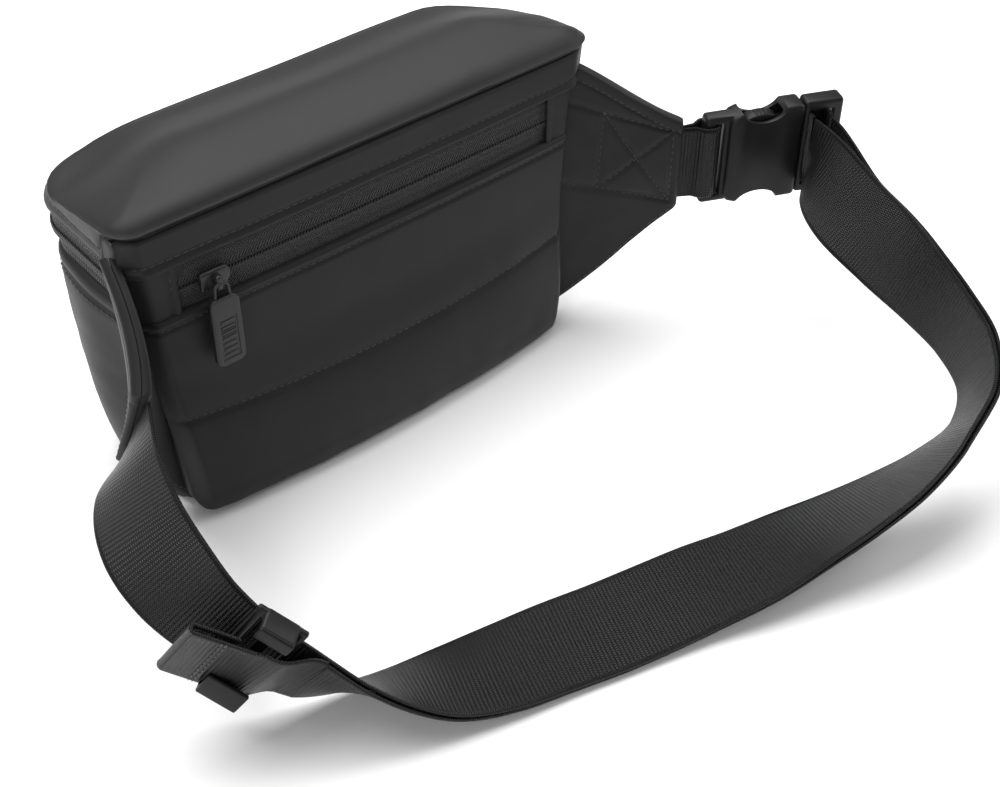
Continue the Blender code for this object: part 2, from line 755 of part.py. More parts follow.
def belt_tail():
    """The belt's end leaves the adjuster straight, and stands off the rising strap."""
    centre, _, _, outward = belt_frame(ADJUSTER_AT)
    _, along, width, lift = belt_frame(TAIL_LIKE)
    start = centre + outward * 10.6 * MM
    rings = []
    for i in range(5):
        middle = start + along * mix(-3 * MM, TAIL_LENGTH, i / 4) + lift * 1.5 * MM
        rings.append([
            tuple(middle + width * WEB_WIDTH / 2 * a + lift * TAIL_THICK / 2 * b)
            for a, b in ((-1, -1), (1, -1), (1, 1), (-1, 1))
        ])
    loft("belt_tail", rings, webbing("belt_tail"))


# ---------------------------------------------------------------- whole part

def build():
    clear_scene()
    body_shell()
    main_lining()
    back_parts()
    zip_end_tabs()
    main_zip_tape("main_zip_tape_lower", RIM_HEIGHT + GAP, MAIN_ZIP_HEIGHT - GAP / 2)
    main_zip_tape("main_zip_tape_upper", MAIN_ZIP_HEIGHT + GAP / 2, HEM_HEIGHT - 2 * GAP)
    top_panel()
    rear_y = back_surface(-79 * MM, ZIP_HEIGHT) + 3.0 * MM - GAP
    zip_slider("rear", (-79 * MM, rear_y - 3.5 * MM, ZIP_HEIGHT), -1, 33 * MM)
    zip_slider("main", (76 * MM, FRONT_Y + GAP, MAIN_ZIP_HEIGHT), 1, 30 * MM)
    wings()
    buckle()
    belt()
    adjuster()


build()
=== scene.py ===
"""Waist bag: the cloth, padding, zips, webbing and moulded parts that finish the frame."""
import math

import bmesh
import bpy
import numpy as np
from mathutils import Matrix, Vector, noise


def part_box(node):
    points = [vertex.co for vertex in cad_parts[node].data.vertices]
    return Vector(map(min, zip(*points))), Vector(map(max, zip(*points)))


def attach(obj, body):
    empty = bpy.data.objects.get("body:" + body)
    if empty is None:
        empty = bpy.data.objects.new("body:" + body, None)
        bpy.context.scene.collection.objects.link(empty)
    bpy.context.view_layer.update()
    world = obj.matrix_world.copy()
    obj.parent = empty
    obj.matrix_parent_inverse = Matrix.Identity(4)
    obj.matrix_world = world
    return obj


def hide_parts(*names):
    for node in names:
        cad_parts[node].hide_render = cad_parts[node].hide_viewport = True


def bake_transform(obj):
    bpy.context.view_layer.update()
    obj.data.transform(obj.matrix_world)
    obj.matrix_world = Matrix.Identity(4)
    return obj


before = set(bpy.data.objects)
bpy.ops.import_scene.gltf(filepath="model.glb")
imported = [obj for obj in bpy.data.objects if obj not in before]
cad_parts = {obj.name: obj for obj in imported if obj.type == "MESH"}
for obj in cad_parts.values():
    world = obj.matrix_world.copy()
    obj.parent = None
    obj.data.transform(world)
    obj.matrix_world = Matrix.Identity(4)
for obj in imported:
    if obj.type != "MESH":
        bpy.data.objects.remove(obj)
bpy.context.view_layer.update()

bl_info = {
    "name": "Waist bag finish",
    "version": (1, 0, 0),
    "blender": (4, 5, 0),
    "location": "3D View > Sidebar > Waist bag",
    "description": "Makes the soft goods, zips, webbing and buckle of a waist bag",
    "category": "Object",
}

MM = 0.001

# Shape of the bag, as the frame has it
TOP_WIDTH = 230 * MM
BASE_WIDTH = 204 * MM
SEAM_HEIGHT = 148 * MM
BACK_Y = -41 * MM
FRONT_Y = 39 * MM
SHELL_BACK_Y = -30 * MM
CORNER_BACK = 11 * MM
CORNER_FRONT = 22 * MM
PANEL_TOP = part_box("back_panel")[1][2]
YOKE_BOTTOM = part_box("back_yoke")[0][2]
YOKE_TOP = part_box("back_yoke")[1][2]
ZIP_HEIGHT = (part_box("rear_zip_tape_lower")[1][2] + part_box("rear_zip_tape_upper")[0][2]) / 2
MAIN_ZIP_HEIGHT = (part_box("main_zip_tape_lower")[1][2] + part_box("main_zip_tape_upper")[0][2]) / 2
RIM_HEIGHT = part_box("main_zip_tape_lower")[0][2]
HEM_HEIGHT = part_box("top_panel")[0][2]
WING_ANGLE = math.radians(24.7)
WING_ROOT_Y = -33.7 * MM
WING_LENGTH = 58 * MM
WING_LOW = 8 * MM
WING_HIGH = 136 * MM
WING_LAYER = 3.6 * MM
BUCKLE_HEIGHT = 76 * MM
BUCKLE_FROM_WING = 13 * MM
END_BAR = 54.5 * MM
QUILT_HEIGHT = 50 * MM
BACK_BELLY = 11.0 * MM
BELLY_TOP = 78 * MM

# Belt route: x, y, z of the inner layer in millimetres, and its lean in degrees
ROUTE = [
    (215.9, -91.5, 76, 0), (207.5, -108, 74, 26), (201, -129, 69, 42), (196.5, -154, 65, 32),
    (191, -180, 61, 14), (184.5, -204, 57, 5), (175.5, -224, 52, 8), (160, -236, 45, 23),
    (138, -238, 36, 42), (115, -236, 29, 59), (91, -231, 23, 72), (68, -225, 18, 84),
    (46, -220, 14.5, 95), (25, -214, 12, 104), (4, -209, 10.5, 108), (-16, -204, 9.5, 108),
    (-37, -198, 9, 105), (-59, -192, 8.5, 98), (-79, -185, 9, 84), (-97, -177, 12.5, 61),
    (-113, -168, 18.5, 37), (-127, -157.5, 27, 13), (-139, -145, 38, -4),
    (-147.5, -131, 50, -24), (-151.5, -115, 61, -46), (-151, -97, 70, -54),
    (-144, -78, 77, -46), (-131, -62, 80, -26),
]
RUN_FROM = 0.12
ADJUSTER_AT = 0.815
TAIL_LIKE = 0.775
TAIL_LENGTH = 25 * MM
WEB_WIDTH = 38 * MM
LAYER_STEP = 2.3 * MM
BELT_RUN = 590 * MM

# Weaves
KNOT_PITCH = 0.95 * MM
EDGE_PITCH = 0.9 * MM
EDGE_BAND = 1.9 * MM
HERRINGBONE_PITCH = 1.45 * MM
HERRINGBONE_FOLD = 1.9 * MM


# ---------------------------------------------------------------- settings

class BagSizes(bpy.types.PropertyGroup):
    """Sizes of the finish that a user would change"""
    stitch: bpy.props.FloatProperty(
        name="Stitch", description="Length of one top stitch", default=2.6 * MM,
        unit="LENGTH")
    stitch_gap: bpy.props.FloatProperty(
        name="Stitch gap", description="Gap between two stitches", default=0.9 * MM,
        unit="LENGTH")
    thread: bpy.props.FloatProperty(
        name="Thread", description="Thickness of the thread", default=0.42 * MM,
        unit="LENGTH")
    rib: bpy.props.FloatProperty(
        name="Webbing rib", description="Distance between the webbing's cross ribs",
        default=1.65 * MM, unit="LENGTH")
    tooth: bpy.props.FloatProperty(
        name="Zip pitch", description="Distance between two turns of the zip coil",
        default=1.25 * MM, unit="LENGTH")
    wrinkle: bpy.props.FloatProperty(
        name="Wrinkle", description="Height of the soft wrinkles in the cloth",
        default=0.9 * MM, unit="LENGTH")


class BagColours(bpy.types.PropertyGroup):
    """Colours of the finish"""
    cloth: bpy.props.FloatVectorProperty(
        name="Coated cloth", description="Colour of the coated cloth", subtype="COLOR",
        default=(0.0120, 0.0112, 0.0116))
    webbing: bpy.props.FloatVectorProperty(
        name="Webbing", description="Colour of the webbing", subtype="COLOR",
        default=(0.0042, 0.0042, 0.0044))
    thread: bpy.props.FloatVectorProperty(
        name="Thread", description="Colour of the thread", subtype="COLOR",
        default=(0.027, 0.0262, 0.027))
    acetal: bpy.props.FloatVectorProperty(
        name="Acetal", description="Colour of the moulded parts", subtype="COLOR",
        default=(0.0065, 0.0065, 0.0068))


def sizes():
    return bpy.context.scene.bag_sizes


def colours():
    return bpy.context.scene.bag_colours


# ---------------------------------------------------------------- small maths

def mix(a, b, t):
    return a + (b - a) * t


def smooth(t):
    t = min(max(t, 0.0), 1.0)
    return t * t * (3 - 2 * t)


def bump(x, centre, width):
    """Rounded ridge, 1 at its centre and 0 a width away."""
    d = abs(x - centre) / width
    return 0.0 if d >= 1 else 0.5 * (1 + math.cos(math.pi * d))


def ripple(point, size, seed):
    """Smooth noise between about -1 and 1, of a given size in metres."""
    x, y, z = point
    return noise.noise(Vector((x / size + seed * 7.3, y / size, z / size)))


def arc(cx, cy, r, start, end, steps):
    return [(cx + r * math.cos(math.radians(mix(start, end, i / steps))),
             cy + r * math.sin(math.radians(mix(start, end, i / steps))))
            for i in range(steps + 1)]


# ---------------------------------------------------------------- materials

def new_material(name):
    mat = bpy.data.materials.new(name)
    mat.use_nodes = True
    tree = mat.node_tree
    return mat, tree, tree.nodes["Principled BSDF"]


def node(tree, kind, **values):
    made = tree.nodes.new(kind)
    for key, value in values.items():
        setattr(made, key, value)
    return made


def maths(tree, operation, a, b=None, clamp=False):
    """Math node whose inputs are sockets or numbers."""
    made = node(tree, "ShaderNodeMath", operation=operation, use_clamp=clamp)
    for socket, value in zip(made.inputs, (a, b)):
        if value is None:
            continue
        if isinstance(value, (int, float)):
            socket.default_value = value
        else:
            tree.links.new(value, socket)
    return made.outputs[0]


def noise_out(tree, vector, scale, detail=3.0, rough=0.5):
    made = node(tree, "ShaderNodeTexNoise")
    made.inputs["Scale"].default_value = scale
    made.inputs["Detail"].default_value = detail
    made.inputs["Roughness"].default_value = rough
    tree.links.new(vector, made.inputs["Vector"])
    return made.outputs["Fac"]


def tint(tree, shader, fac, colour, low, high):
    """Vary the base colour between low and high times itself."""
    ramp = node(tree, "ShaderNodeMix", data_type="RGBA")
    ramp.inputs["A"].default_value = (*[c * low for c in colour], 1)
    ramp.inputs["B"].default_value = (*[c * high for c in colour], 1)
    tree.links.new(fac, ramp.inputs["Factor"])
    tree.links.new(ramp.outputs["Result"], shader.inputs["Base Color"])


def roughen(tree, shader, fac, low, high):
    ranged = node(tree, "ShaderNodeMapRange")
    ranged.inputs["To Min"].default_value = low
    ranged.inputs["To Max"].default_value = high
    tree.links.new(fac, ranged.inputs["Value"])
    tree.links.new(ranged.outputs["Result"], shader.inputs["Roughness"])


def relief(tree, shader, height, distance, strength=1.0):
    made = node(tree, "ShaderNodeBump")
    made.inputs["Distance"].default_value = distance
    made.inputs["Strength"].default_value = strength
    tree.links.new(height, made.inputs["Height"])
    tree.links.new(made.outputs["Normal"], shader.inputs["Normal"])


def coated_cloth():
    """Matt coated cloth: a very fine weave under a soft, slightly cloudy coating."""
    mat, tree, shader = new_material("coated_cloth")
    place = node(tree, "ShaderNodeTexCoord").outputs["Object"]
    cloud = noise_out(tree, place, 38, 4)
    grain = noise_out(tree, place, 2600, 2)
    fine = noise_out(tree, place, 900, 3)
    tint(tree, shader, cloud, colours().cloth, 0.86, 1.16)
    roughen(tree, shader, cloud, 0.50, 0.60)
    relief(tree, shader, maths(tree, "ADD", grain, maths(tree, "MULTIPLY", fine, 1.4)),
           0.00006, 0.55)
    shader.inputs["Specular IOR Level"].default_value = 0.24
    shader.inputs["Sheen Weight"].default_value = 0.04
    shader.inputs["Sheen Roughness"].default_value = 0.45
    return mat


def uv_parts(tree):
    uv = node(tree, "ShaderNodeUVMap", uv_map="run")
    split = node(tree, "ShaderNodeSeparateXYZ")
    tree.links.new(uv.outputs["UV"], split.inputs["Vector"])
    return split.outputs["X"], split.outputs["Y"]


def webbing_cloth():
    """Ribbed webbing: rows of small knots across it, and plain knitted edges. Its colour holds
    painted shade, darker in the grooves between the ribs and lighter on their tops, and painted
    sheen streaks across it.
    """
    mat, tree, shader = new_material("ribbed_webbing")
    across, along = uv_parts(tree)
    pitch = sizes().rib
    rows = maths(tree, "SINE", maths(tree, "MULTIPLY", along, 2 * math.pi / pitch))
    knots = maths(tree, "SINE", maths(tree, "MULTIPLY", across, 2 * math.pi / KNOT_PITCH))
    half_rows = maths(tree, "SINE", maths(tree, "MULTIPLY", along, math.pi / pitch))
    offset = maths(tree, "MULTIPLY", maths(tree, "SIGN", half_rows), 1.0)
    dots = maths(tree, "MULTIPLY", knots, offset)
    height = maths(tree, "ADD", maths(tree, "MULTIPLY", rows, 0.55),
                   maths(tree, "MULTIPLY", dots, 0.45))
    edge = maths(tree, "GREATER_THAN", maths(tree, "ABSOLUTE", across), WEB_WIDTH / 2 - EDGE_BAND)
    plain = maths(tree, "SINE", maths(tree, "MULTIPLY", along, 2 * math.pi / EDGE_PITCH))
    body = node(tree, "ShaderNodeMix", data_type="FLOAT")
    tree.links.new(edge, body.inputs["Factor"])
    tree.links.new(height, body.inputs["A"])
    tree.links.new(plain, body.inputs["B"])
    # painted shade: the colour follows the rib height, darker in the grooves and lighter on the rib
    # tops
    painted_weave_shade = maths(tree, "MULTIPLY_ADD", body.outputs["Result"], 0.5)
    # streaks across the strap: painted sheen in the colour, and a change of roughness
    drawn = node(tree, "ShaderNodeCombineXYZ")
    tree.links.new(maths(tree, "MULTIPLY", across, 0.06), drawn.inputs["X"])
    tree.links.new(along, drawn.inputs["Y"])
    sheen_streak = noise_out(tree, drawn.outputs["Vector"], 700, 3, 0.7)
    # base colour from the painted rib shade and the painted sheen streaks together
    painted_shade_and_sheen = maths(tree, "MULTIPLY", maths(tree, "ADD", painted_weave_shade, sheen_streak), 0.5, clamp=True)
    tint(tree, shader, painted_shade_and_sheen, colours().webbing, 0.3, 1.9)
    roughen(tree, shader, sheen_streak, 0.22, 0.42)
    relief(tree, shader, body.outputs["Result"], 0.00022, 0.9)
    shader.inputs["Specular IOR Level"].default_value = 0.25
    shader.inputs["Sheen Weight"].default_value = 0.03
    shader.inputs["Sheen Roughness"].default_value = 0.35
    return mat


def zip_tape():
    """Zip tape: narrow herringbone weave along the tape, with painted shade in its colour: darker in
    the weave's grooves and lighter on its ridges.
    """
    mat, tree, shader = new_material("herringbone_tape")
    across, along = uv_parts(tree)
    fold = maths(tree, "PINGPONG", across, HERRINGBONE_FOLD)
    slant = maths(tree, "ADD", along, maths(tree, "MULTIPLY", fold, 0.9))
    weave = maths(tree, "SINE", maths(tree, "MULTIPLY", slant, 2 * math.pi / HERRINGBONE_PITCH))
    # painted shade: the colour follows the weave's height, darker in its grooves and lighter on its
    # ridges
    painted_weave_shade = maths(tree, "MULTIPLY_ADD", weave, 0.5)
    painted_weave_shade = maths(tree, "ADD", maths(tree, "MULTIPLY", painted_weave_shade, 0.5), 0.25)
    tint(tree, shader, painted_weave_shade, (0.0085, 0.0085, 0.0088), 0.15, 2.4)
    relief(tree, shader, weave, 0.00035, 1.0)
    shader.inputs["Specular IOR Level"].default_value = 0.22
    shader.inputs["Roughness"].default_value = 0.62
    shader.inputs["Sheen Weight"].default_value = 0.15
    return mat


def sewing_thread():
    mat, tree, shader = new_material("sewing_thread")
    place = node(tree, "ShaderNodeTexCoord").outputs["Object"]
    twist = noise_out(tree, place, 3500, 2)
    tint(tree, shader, twist, colours().thread, 0.7, 1.35)
    relief(tree, shader, twist, 0.00005, 0.8)
    shader.inputs["Roughness"].default_value = 0.5
    shader.inputs["Sheen Weight"].default_value = 0.3
    return mat


def moulded_acetal():
    """Acetal with a fine spark-eroded texture, polished a little where hands rub it."""
    mat, tree, shader = new_material("moulded_acetal")
    place = node(tree, "ShaderNodeTexCoord").outputs["Object"]
    cloud = noise_out(tree, place, 60, 3)
    spark = noise_out(tree, place, 2200, 3)
    tint(tree, shader, cloud, colours().acetal, 0.9, 1.12)
    roughen(tree, shader, cloud, 0.36, 0.46)
    relief(tree, shader, spark, 0.00005, 0.5)
    shader.inputs["Specular IOR Level"].default_value = 0.22
    return mat


def painted_metal():
    """Black painted zinc, scuffed to a brighter grey in small patches."""
    mat, tree, shader = new_material("painted_zinc")
    place = node(tree, "ShaderNodeTexCoord").outputs["Object"]
    scuff = noise_out(tree, place, 420, 4, 0.7)
    tint(tree, shader, scuff, (0.016, 0.016, 0.017), 0.7, 2.0)
    roughen(tree, shader, scuff, 0.24, 0.44)
    relief(tree, shader, scuff, 0.00003, 0.4)
    shader.inputs["Metallic"].default_value = 0.35
    return mat


def soft_rubber():
    mat, tree, shader = new_material("soft_rubber")
    place = node(tree, "ShaderNodeTexCoord").outputs["Object"]
    cloud = noise_out(tree, place, 120, 3)
    grain = noise_out(tree, place, 1800, 2)
    tint(tree, shader, cloud, (0.0085, 0.0085, 0.009), 0.85, 1.2)
    roughen(tree, shader, cloud, 0.42, 0.55)
    relief(tree, shader, grain, 0.00004, 0.5)
    return mat


def zip_coil():
    mat, tree, shader = new_material("coil_nylon")
    place = node(tree, "ShaderNodeTexCoord").outputs["Object"]
    cloud = noise_out(tree, place, 500, 2)
    tint(tree, shader, cloud, (0.012, 0.012, 0.0125), 0.8, 1.3)
    roughen(tree, shader, cloud, 0.28, 0.4)
    return mat


def lining_cloth():
    """Plain woven lining, a dark warm grey with a fine square weave."""
    mat, tree, shader = new_material("woven_lining")
    place = node(tree, "ShaderNodeTexCoord").outputs["Object"]
    split = node(tree, "ShaderNodeSeparateXYZ")
    tree.links.new(place, split.inputs["Vector"])
    warp = maths(tree, "SINE", maths(tree, "MULTIPLY",
                 maths(tree, "ADD", split.outputs["X"], split.outputs["Y"]), 2 * math.pi / 0.0009))
    weft = maths(tree, "SINE", maths(tree, "MULTIPLY", split.outputs["Z"], 2 * math.pi / 0.0009))
    weave = maths(tree, "MULTIPLY", warp, weft)
    cloud = noise_out(tree, place, 45, 3)
    tint(tree, shader, cloud, (0.034, 0.033, 0.034), 0.8, 1.2)
    relief(tree, shader, weave, 0.00012, 0.7)
    shader.inputs["Roughness"].default_value = 0.55
    shader.inputs["Sheen Weight"].default_value = 0.2
    return mat


MAKERS = {
    "coated_fabric": coated_cloth, "webbing": webbing_cloth, "zip_fabric": zip_tape,
    "acetal": moulded_acetal, "zip_metal": painted_metal, "soft_rubber": soft_rubber,
    "lining_fabric": lining_cloth,
}
EXTRA = {"thread": sewing_thread, "coil": zip_coil}
MADE = {}


def finish_of(name):
    """The material of a slot, made once."""
    if name not in MADE:
        MADE[name] = (MAKERS.get(name) or EXTRA[name])()
    return MADE[name]


# ---------------------------------------------------------------- mesh helpers

def make_piece(name, verts, faces, finish, uvs=None, angle=40):
    """Mesh object at the origin; uvs is one (across, along) pair for each vertex."""
    mesh = bpy.data.meshes.new(name)
    mesh.from_pydata([tuple(v) for v in verts], [], faces)
    if uvs is not None:
        layer = mesh.uv_layers.new(name="run")
        for loop in mesh.loops:
            layer.data[loop.index].uv = uvs[loop.vertex_index]
    bm = bmesh.new()
    bm.from_mesh(mesh)
    bmesh.ops.recalc_face_normals(bm, faces=bm.faces)
    bm.to_mesh(mesh)
    bm.free()
    mesh.materials.append(finish_of(finish))
    mesh.shade_smooth()
    mesh.set_sharp_from_angle(angle=math.radians(angle))
    obj = bpy.data.objects.new(name, mesh)
    bpy.context.scene.collection.objects.link(obj)
    return obj


def settle(obj, body, nodes=()):
    """Ride on a body, and stand for CAD nodes."""
    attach(obj, body)
    if nodes:
        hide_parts(*nodes)
    return obj


def ring_faces(rows, count, first=0, caps=(True, True)):
    """Faces of a tube of rings with equal counts, with end caps where asked."""
    faces = []
    for i in range(rows - 1):
        low = first + i * count
        for j in range(count):
            k = (j + 1) % count
            faces.append((low + j, low + k, low + count + k, low + count + j))
    if caps[0]:
        faces.append(tuple(first + j for j in range(count - 1, -1, -1)))
    if caps[1]:
        faces.append(tuple(first + (rows - 1) * count + j for j in range(count)))
    return faces


def two_sided(name, front, back, finish, uvs=None, angle=50):
    """Closed solid between two equal grids of points."""
    rows, cols = len(front), len(front[0])
    verts = [p for row in front for p in row] + [p for row in back for p in row]
    shift = rows * cols
    faces = []
    for i in range(rows - 1):
        for j in range(cols - 1):
            a = i * cols + j
            quad = (a, a + 1, a + cols + 1, a + cols)
            faces += [quad, tuple(v + shift for v in reversed(quad))]
    edge = list(range(cols)) + [i * cols + cols - 1 for i in range(1, rows)]
    edge += [(rows - 1) * cols + j for j in range(cols - 2, -1, -1)]
    edge += [i * cols for i in range(rows - 2, 0, -1)]
    for a, b in zip(edge, edge[1:] + edge[:1]):
        faces.append((b, a, a + shift, b + shift))
    if uvs is not None:
        uvs = [p for row in uvs for p in row] * 2
    return make_piece(name, verts, faces, finish, uvs, angle)


def rounded_box(name, low, high, radius, finish, segments=3):
    """Box between two corners with round edges, as a mesh object."""
    bm = bmesh.new()
    bmesh.ops.create_cube(bm, size=1.0)
    size = Vector(high) - Vector(low)
    centre = (Vector(high) + Vector(low)) / 2
    for vert in bm.verts:
        vert.co = Vector((vert.co.x * size.x, vert.co.y * size.y, vert.co.z * size.z)) + centre
    if radius:
        bmesh.ops.bevel(bm, geom=bm.edges, offset=radius, segments=segments, profile=0.5,
                        affect="EDGES")
    mesh = bpy.data.meshes.new(name)
    bm.to_mesh(mesh)
    bm.free()
    mesh.materials.append(finish_of(finish))
    obj = bpy.data.objects.new(name, mesh)
    bpy.context.scene.collection.objects.link(obj)
    return obj


def combine(base, others, operation):
    """Boolean the others into the base, and remove them."""
    for other in others:
        mod = base.modifiers.new("shape", "BOOLEAN")
        mod.operation = operation
        mod.object = other
    baked(base)
    for other in others:
        bpy.data.objects.remove(other, do_unlink=True)
    return base


def baked(obj):
    """Apply an object's modifiers to its mesh."""
    graph = bpy.context.evaluated_depsgraph_get()
    graph.update()
    mesh = bpy.data.meshes.new_from_object(obj.evaluated_get(graph), depsgraph=graph)
    obj.modifiers.clear()
    obj.data = mesh
    return obj


def soften(obj, width, segments=2):
    """Round an object's sharp edges for good, and shade it smooth."""
    mod = obj.modifiers.new("round", "BEVEL")
    mod.width = width
    mod.segments = segments
    mod.limit_method = "ANGLE"
    mod.angle_limit = math.radians(40)
    mod.harden_normals = False
    baked(obj)
    obj.data.shade_smooth()
    obj.data.set_sharp_from_angle(angle=math.radians(38))
    return obj


def place(obj, matrix):
    """Move the mesh itself, so that the object stays at the origin."""
    obj.data.transform(matrix)
    return obj


# ---------------------------------------------------------------- repeated pieces

def row_tree(name, length_name, gap_name, thick_name, finish, shape):
    """Node tree that sets small solids along a curve: stitches, or the turns of a coil."""
    tree = bpy.data.node_groups.new(name, "GeometryNodeTree")
    face = tree.interface
    face.new_socket("Geometry", in_out="INPUT", socket_type="NodeSocketGeometry")
    for label, value in ((length_name, 2.6 * MM), (gap_name, 0.9 * MM), (thick_name, 0.4 * MM)):
        made = face.new_socket(label, in_out="INPUT", socket_type="NodeSocketFloat")
        made.default_value = value
    face.new_socket("Geometry", in_out="OUTPUT", socket_type="NodeSocketGeometry")
    nodes, links = tree.nodes, tree.links
    start = nodes.new("NodeGroupInput")
    end = nodes.new("NodeGroupOutput")
    step = nodes.new("ShaderNodeMath")
    step.operation = "ADD"
    links.new(start.outputs[length_name], step.inputs[0])
    links.new(start.outputs[gap_name], step.inputs[1])
    points = nodes.new("GeometryNodeCurveToPoints")
    points.mode = "LENGTH"
    links.new(start.outputs["Geometry"], points.inputs["Curve"])
    links.new(step.outputs[0], points.inputs["Length"])
    solid = nodes.new("GeometryNodeMeshUVSphere")
    solid.inputs["Segments"].default_value = 6 if shape == "stitch" else 8
    solid.inputs["Rings"].default_value = 5
    solid.inputs["Radius"].default_value = 0.5
    size = nodes.new("ShaderNodeCombineXYZ")
    links.new(start.outputs[thick_name], size.inputs["X"])
    if shape == "stitch":
        links.new(start.outputs[thick_name], size.inputs["Y"])
        links.new(start.outputs[length_name], size.inputs["Z"])
    else:
        wide = nodes.new("ShaderNodeMath")
        wide.operation = "MULTIPLY"
        wide.inputs[1].default_value = 2.6
        links.new(start.outputs[length_name], wide.inputs[0])
        links.new(wide.outputs[0], size.inputs["Y"])
        links.new(start.outputs[length_name], size.inputs["Z"])
    scale = nodes.new("GeometryNodeTransform")
    links.new(solid.outputs["Mesh"], scale.inputs["Geometry"])
    links.new(size.outputs[0], scale.inputs["Scale"])
    put = nodes.new("GeometryNodeInstanceOnPoints")
    links.new(points.outputs["Points"], put.inputs["Points"])
    links.new(points.outputs["Rotation"], put.inputs["Rotation"])
    links.new(scale.outputs["Geometry"], put.inputs["Instance"])
    real = nodes.new("GeometryNodeRealizeInstances")
    links.new(put.outputs["Instances"], real.inputs["Geometry"])
    paint = nodes.new("GeometryNodeSetMaterial")
    paint.inputs["Material"].default_value = finish_of(finish)
    links.new(real.outputs["Geometry"], paint.inputs["Geometry"])
    links.new(paint.outputs["Geometry"], end.inputs["Geometry"])
    return tree


def rows_along(name, lines, kind, body, values, finish):
    """Small solids along each line of points, as one plain mesh that rides on a body."""
    key = kind + "_rows"
    tree = bpy.data.node_groups.get(key) or row_tree(
        key, "Length", "Gap", "Thickness", finish, kind)
    curve = bpy.data.curves.new(name, "CURVE")
    curve.dimensions = "3D"
    for line in lines:
        spline = curve.splines.new("POLY")
        spline.points.add(len(line) - 1)
        for point, co in zip(spline.points, line):
            point.co = (*co, 1)
    guide = bpy.data.objects.new(name + "_guide", curve)
    bpy.context.scene.collection.objects.link(guide)
    mod = guide.modifiers.new("rows", "NODES")
    mod.node_group = tree
    by_name = {item.name: item.identifier for item in tree.interface.items_tree
               if item.item_type == "SOCKET" and item.in_out == "INPUT"}
    for label, value in values.items():
        mod[by_name[label]] = value
    graph = bpy.context.evaluated_depsgraph_get()
    graph.update()
    mesh = bpy.data.meshes.new_from_object(guide.evaluated_get(graph), depsgraph=graph)
    bpy.data.objects.remove(guide, do_unlink=True)
    mesh.shade_smooth()
    obj = bpy.data.objects.new(name, mesh)
    bpy.context.scene.collection.objects.link(obj)
    return settle(obj, body)


def stitches(name, lines, body):
    """Top stitching in the sewing thread."""
    s = sizes()
    values = {"Length": s.stitch, "Gap": s.stitch_gap, "Thickness": s.thread}
    return rows_along(name, lines, "stitch", body, values, "thread")


def coil(name, lines, body):
    """Turns of a zip coil."""
    pitch = sizes().tooth
    values = {"Length": pitch * 0.8, "Gap": pitch * 0.2, "Thickness": 1.3 * MM}
    return rows_along(name, lines, "coil", body, values, "coil")


# ---------------------------------------------------------------- bag outline

def half_width(z):
    return mix(BASE_WIDTH, TOP_WIDTH, z / SEAM_HEIGHT) / 2


def plan(z, inset, back_y=BACK_Y, level=None, back_round=CORNER_BACK,
         front_round=CORNER_FRONT):
    """Fine ring round the bag at a height, starting at the back right corner."""
    level = z if level is None else level
    half = half_width(z) - inset
    back = back_y + inset
    front = FRONT_Y - inset
    room = front - back
    rb = min(max(back_round - inset, 2.0 * MM), room * 0.3)
    rf = min(max(front_round - inset, 3.0 * MM), room - rb - room * 0.08)
    corners = [
        (half - rb, back + rb, rb, -90), (half - rf, front - rf, rf, 0),
        (-half + rf, front - rf, rf, 90), (-half + rb, back + rb, rb, 180),
    ]
    straights = [16, 56, 16, 56]
    turns = 9
    ring = []
    for number, (cx, cy, r, start) in enumerate(corners):
        for i in range(turns + 1):
            a = math.radians(start + 90 * i / turns)
            ring.append((cx + r * math.cos(a), cy + r * math.sin(a), level))
        nx, ny, nr, nstart = corners[(number + 1) % 4]
        a = math.radians(nstart)
        end = (nx + nr * math.cos(a), ny + nr * math.sin(a))
        begin = ring[-1]
        for i in range(1, straights[number]):
            f = i / straights[number]
            ring.append((mix(begin[0], end[0], f), mix(begin[1], end[1], f), level))
    return ring


def swell_front(x, y, z):
    """How far the soft front and sides stand out from the plain tub."""
    up = math.sin(math.pi * min(max(z / RIM_HEIGHT, 0), 1))
    front = smooth((y - 10 * MM) / (29 * MM)) * (1 - (x / 0.12) ** 2)
    side = smooth((abs(x) - 0.085) / 0.02) * math.exp(-((y + 2 * MM) / (24 * MM)) ** 2)
    low = math.sin(math.pi * min(max((z + 12 * MM) / (RIM_HEIGHT + 12 * MM), 0), 1)) ** 0.7
    return 3.6 * MM * up * front + 10.5 * MM * low * side


def outward(ring, index):
    """Unit direction out of a ring at one of its points."""
    a = Vector(ring[index - 1])
    b = Vector(ring[(index + 1) % len(ring)])
    along = (b - a).normalized()
    return Vector((along.y, -along.x, 0))


def back_surface(x, z):
    """Outer Y of the back, before its seams: the shape the frame gives it."""
    across = x / half_width(z)
    up = min(z / (106.5 * MM), 1.0)
    swell = 4.0 * MM * (1 - across ** 2) * math.sin(math.pi * (0.15 + 0.75 * up))
    roll = 5.5 * MM * smooth((abs(across) - 0.93) / 0.07)
    belly = BACK_BELLY * (1 - 0.45 * across ** 2) * smooth((BELLY_TOP - z) / (60 * MM))
    foot = 7.0 * MM * (1 - math.sqrt(1 - min(max((12 * MM - z) / (13 * MM), 0), 1) ** 2))
    return BACK_Y - swell - belly + roll + foot


# ---------------------------------------------------------------- tub and lining

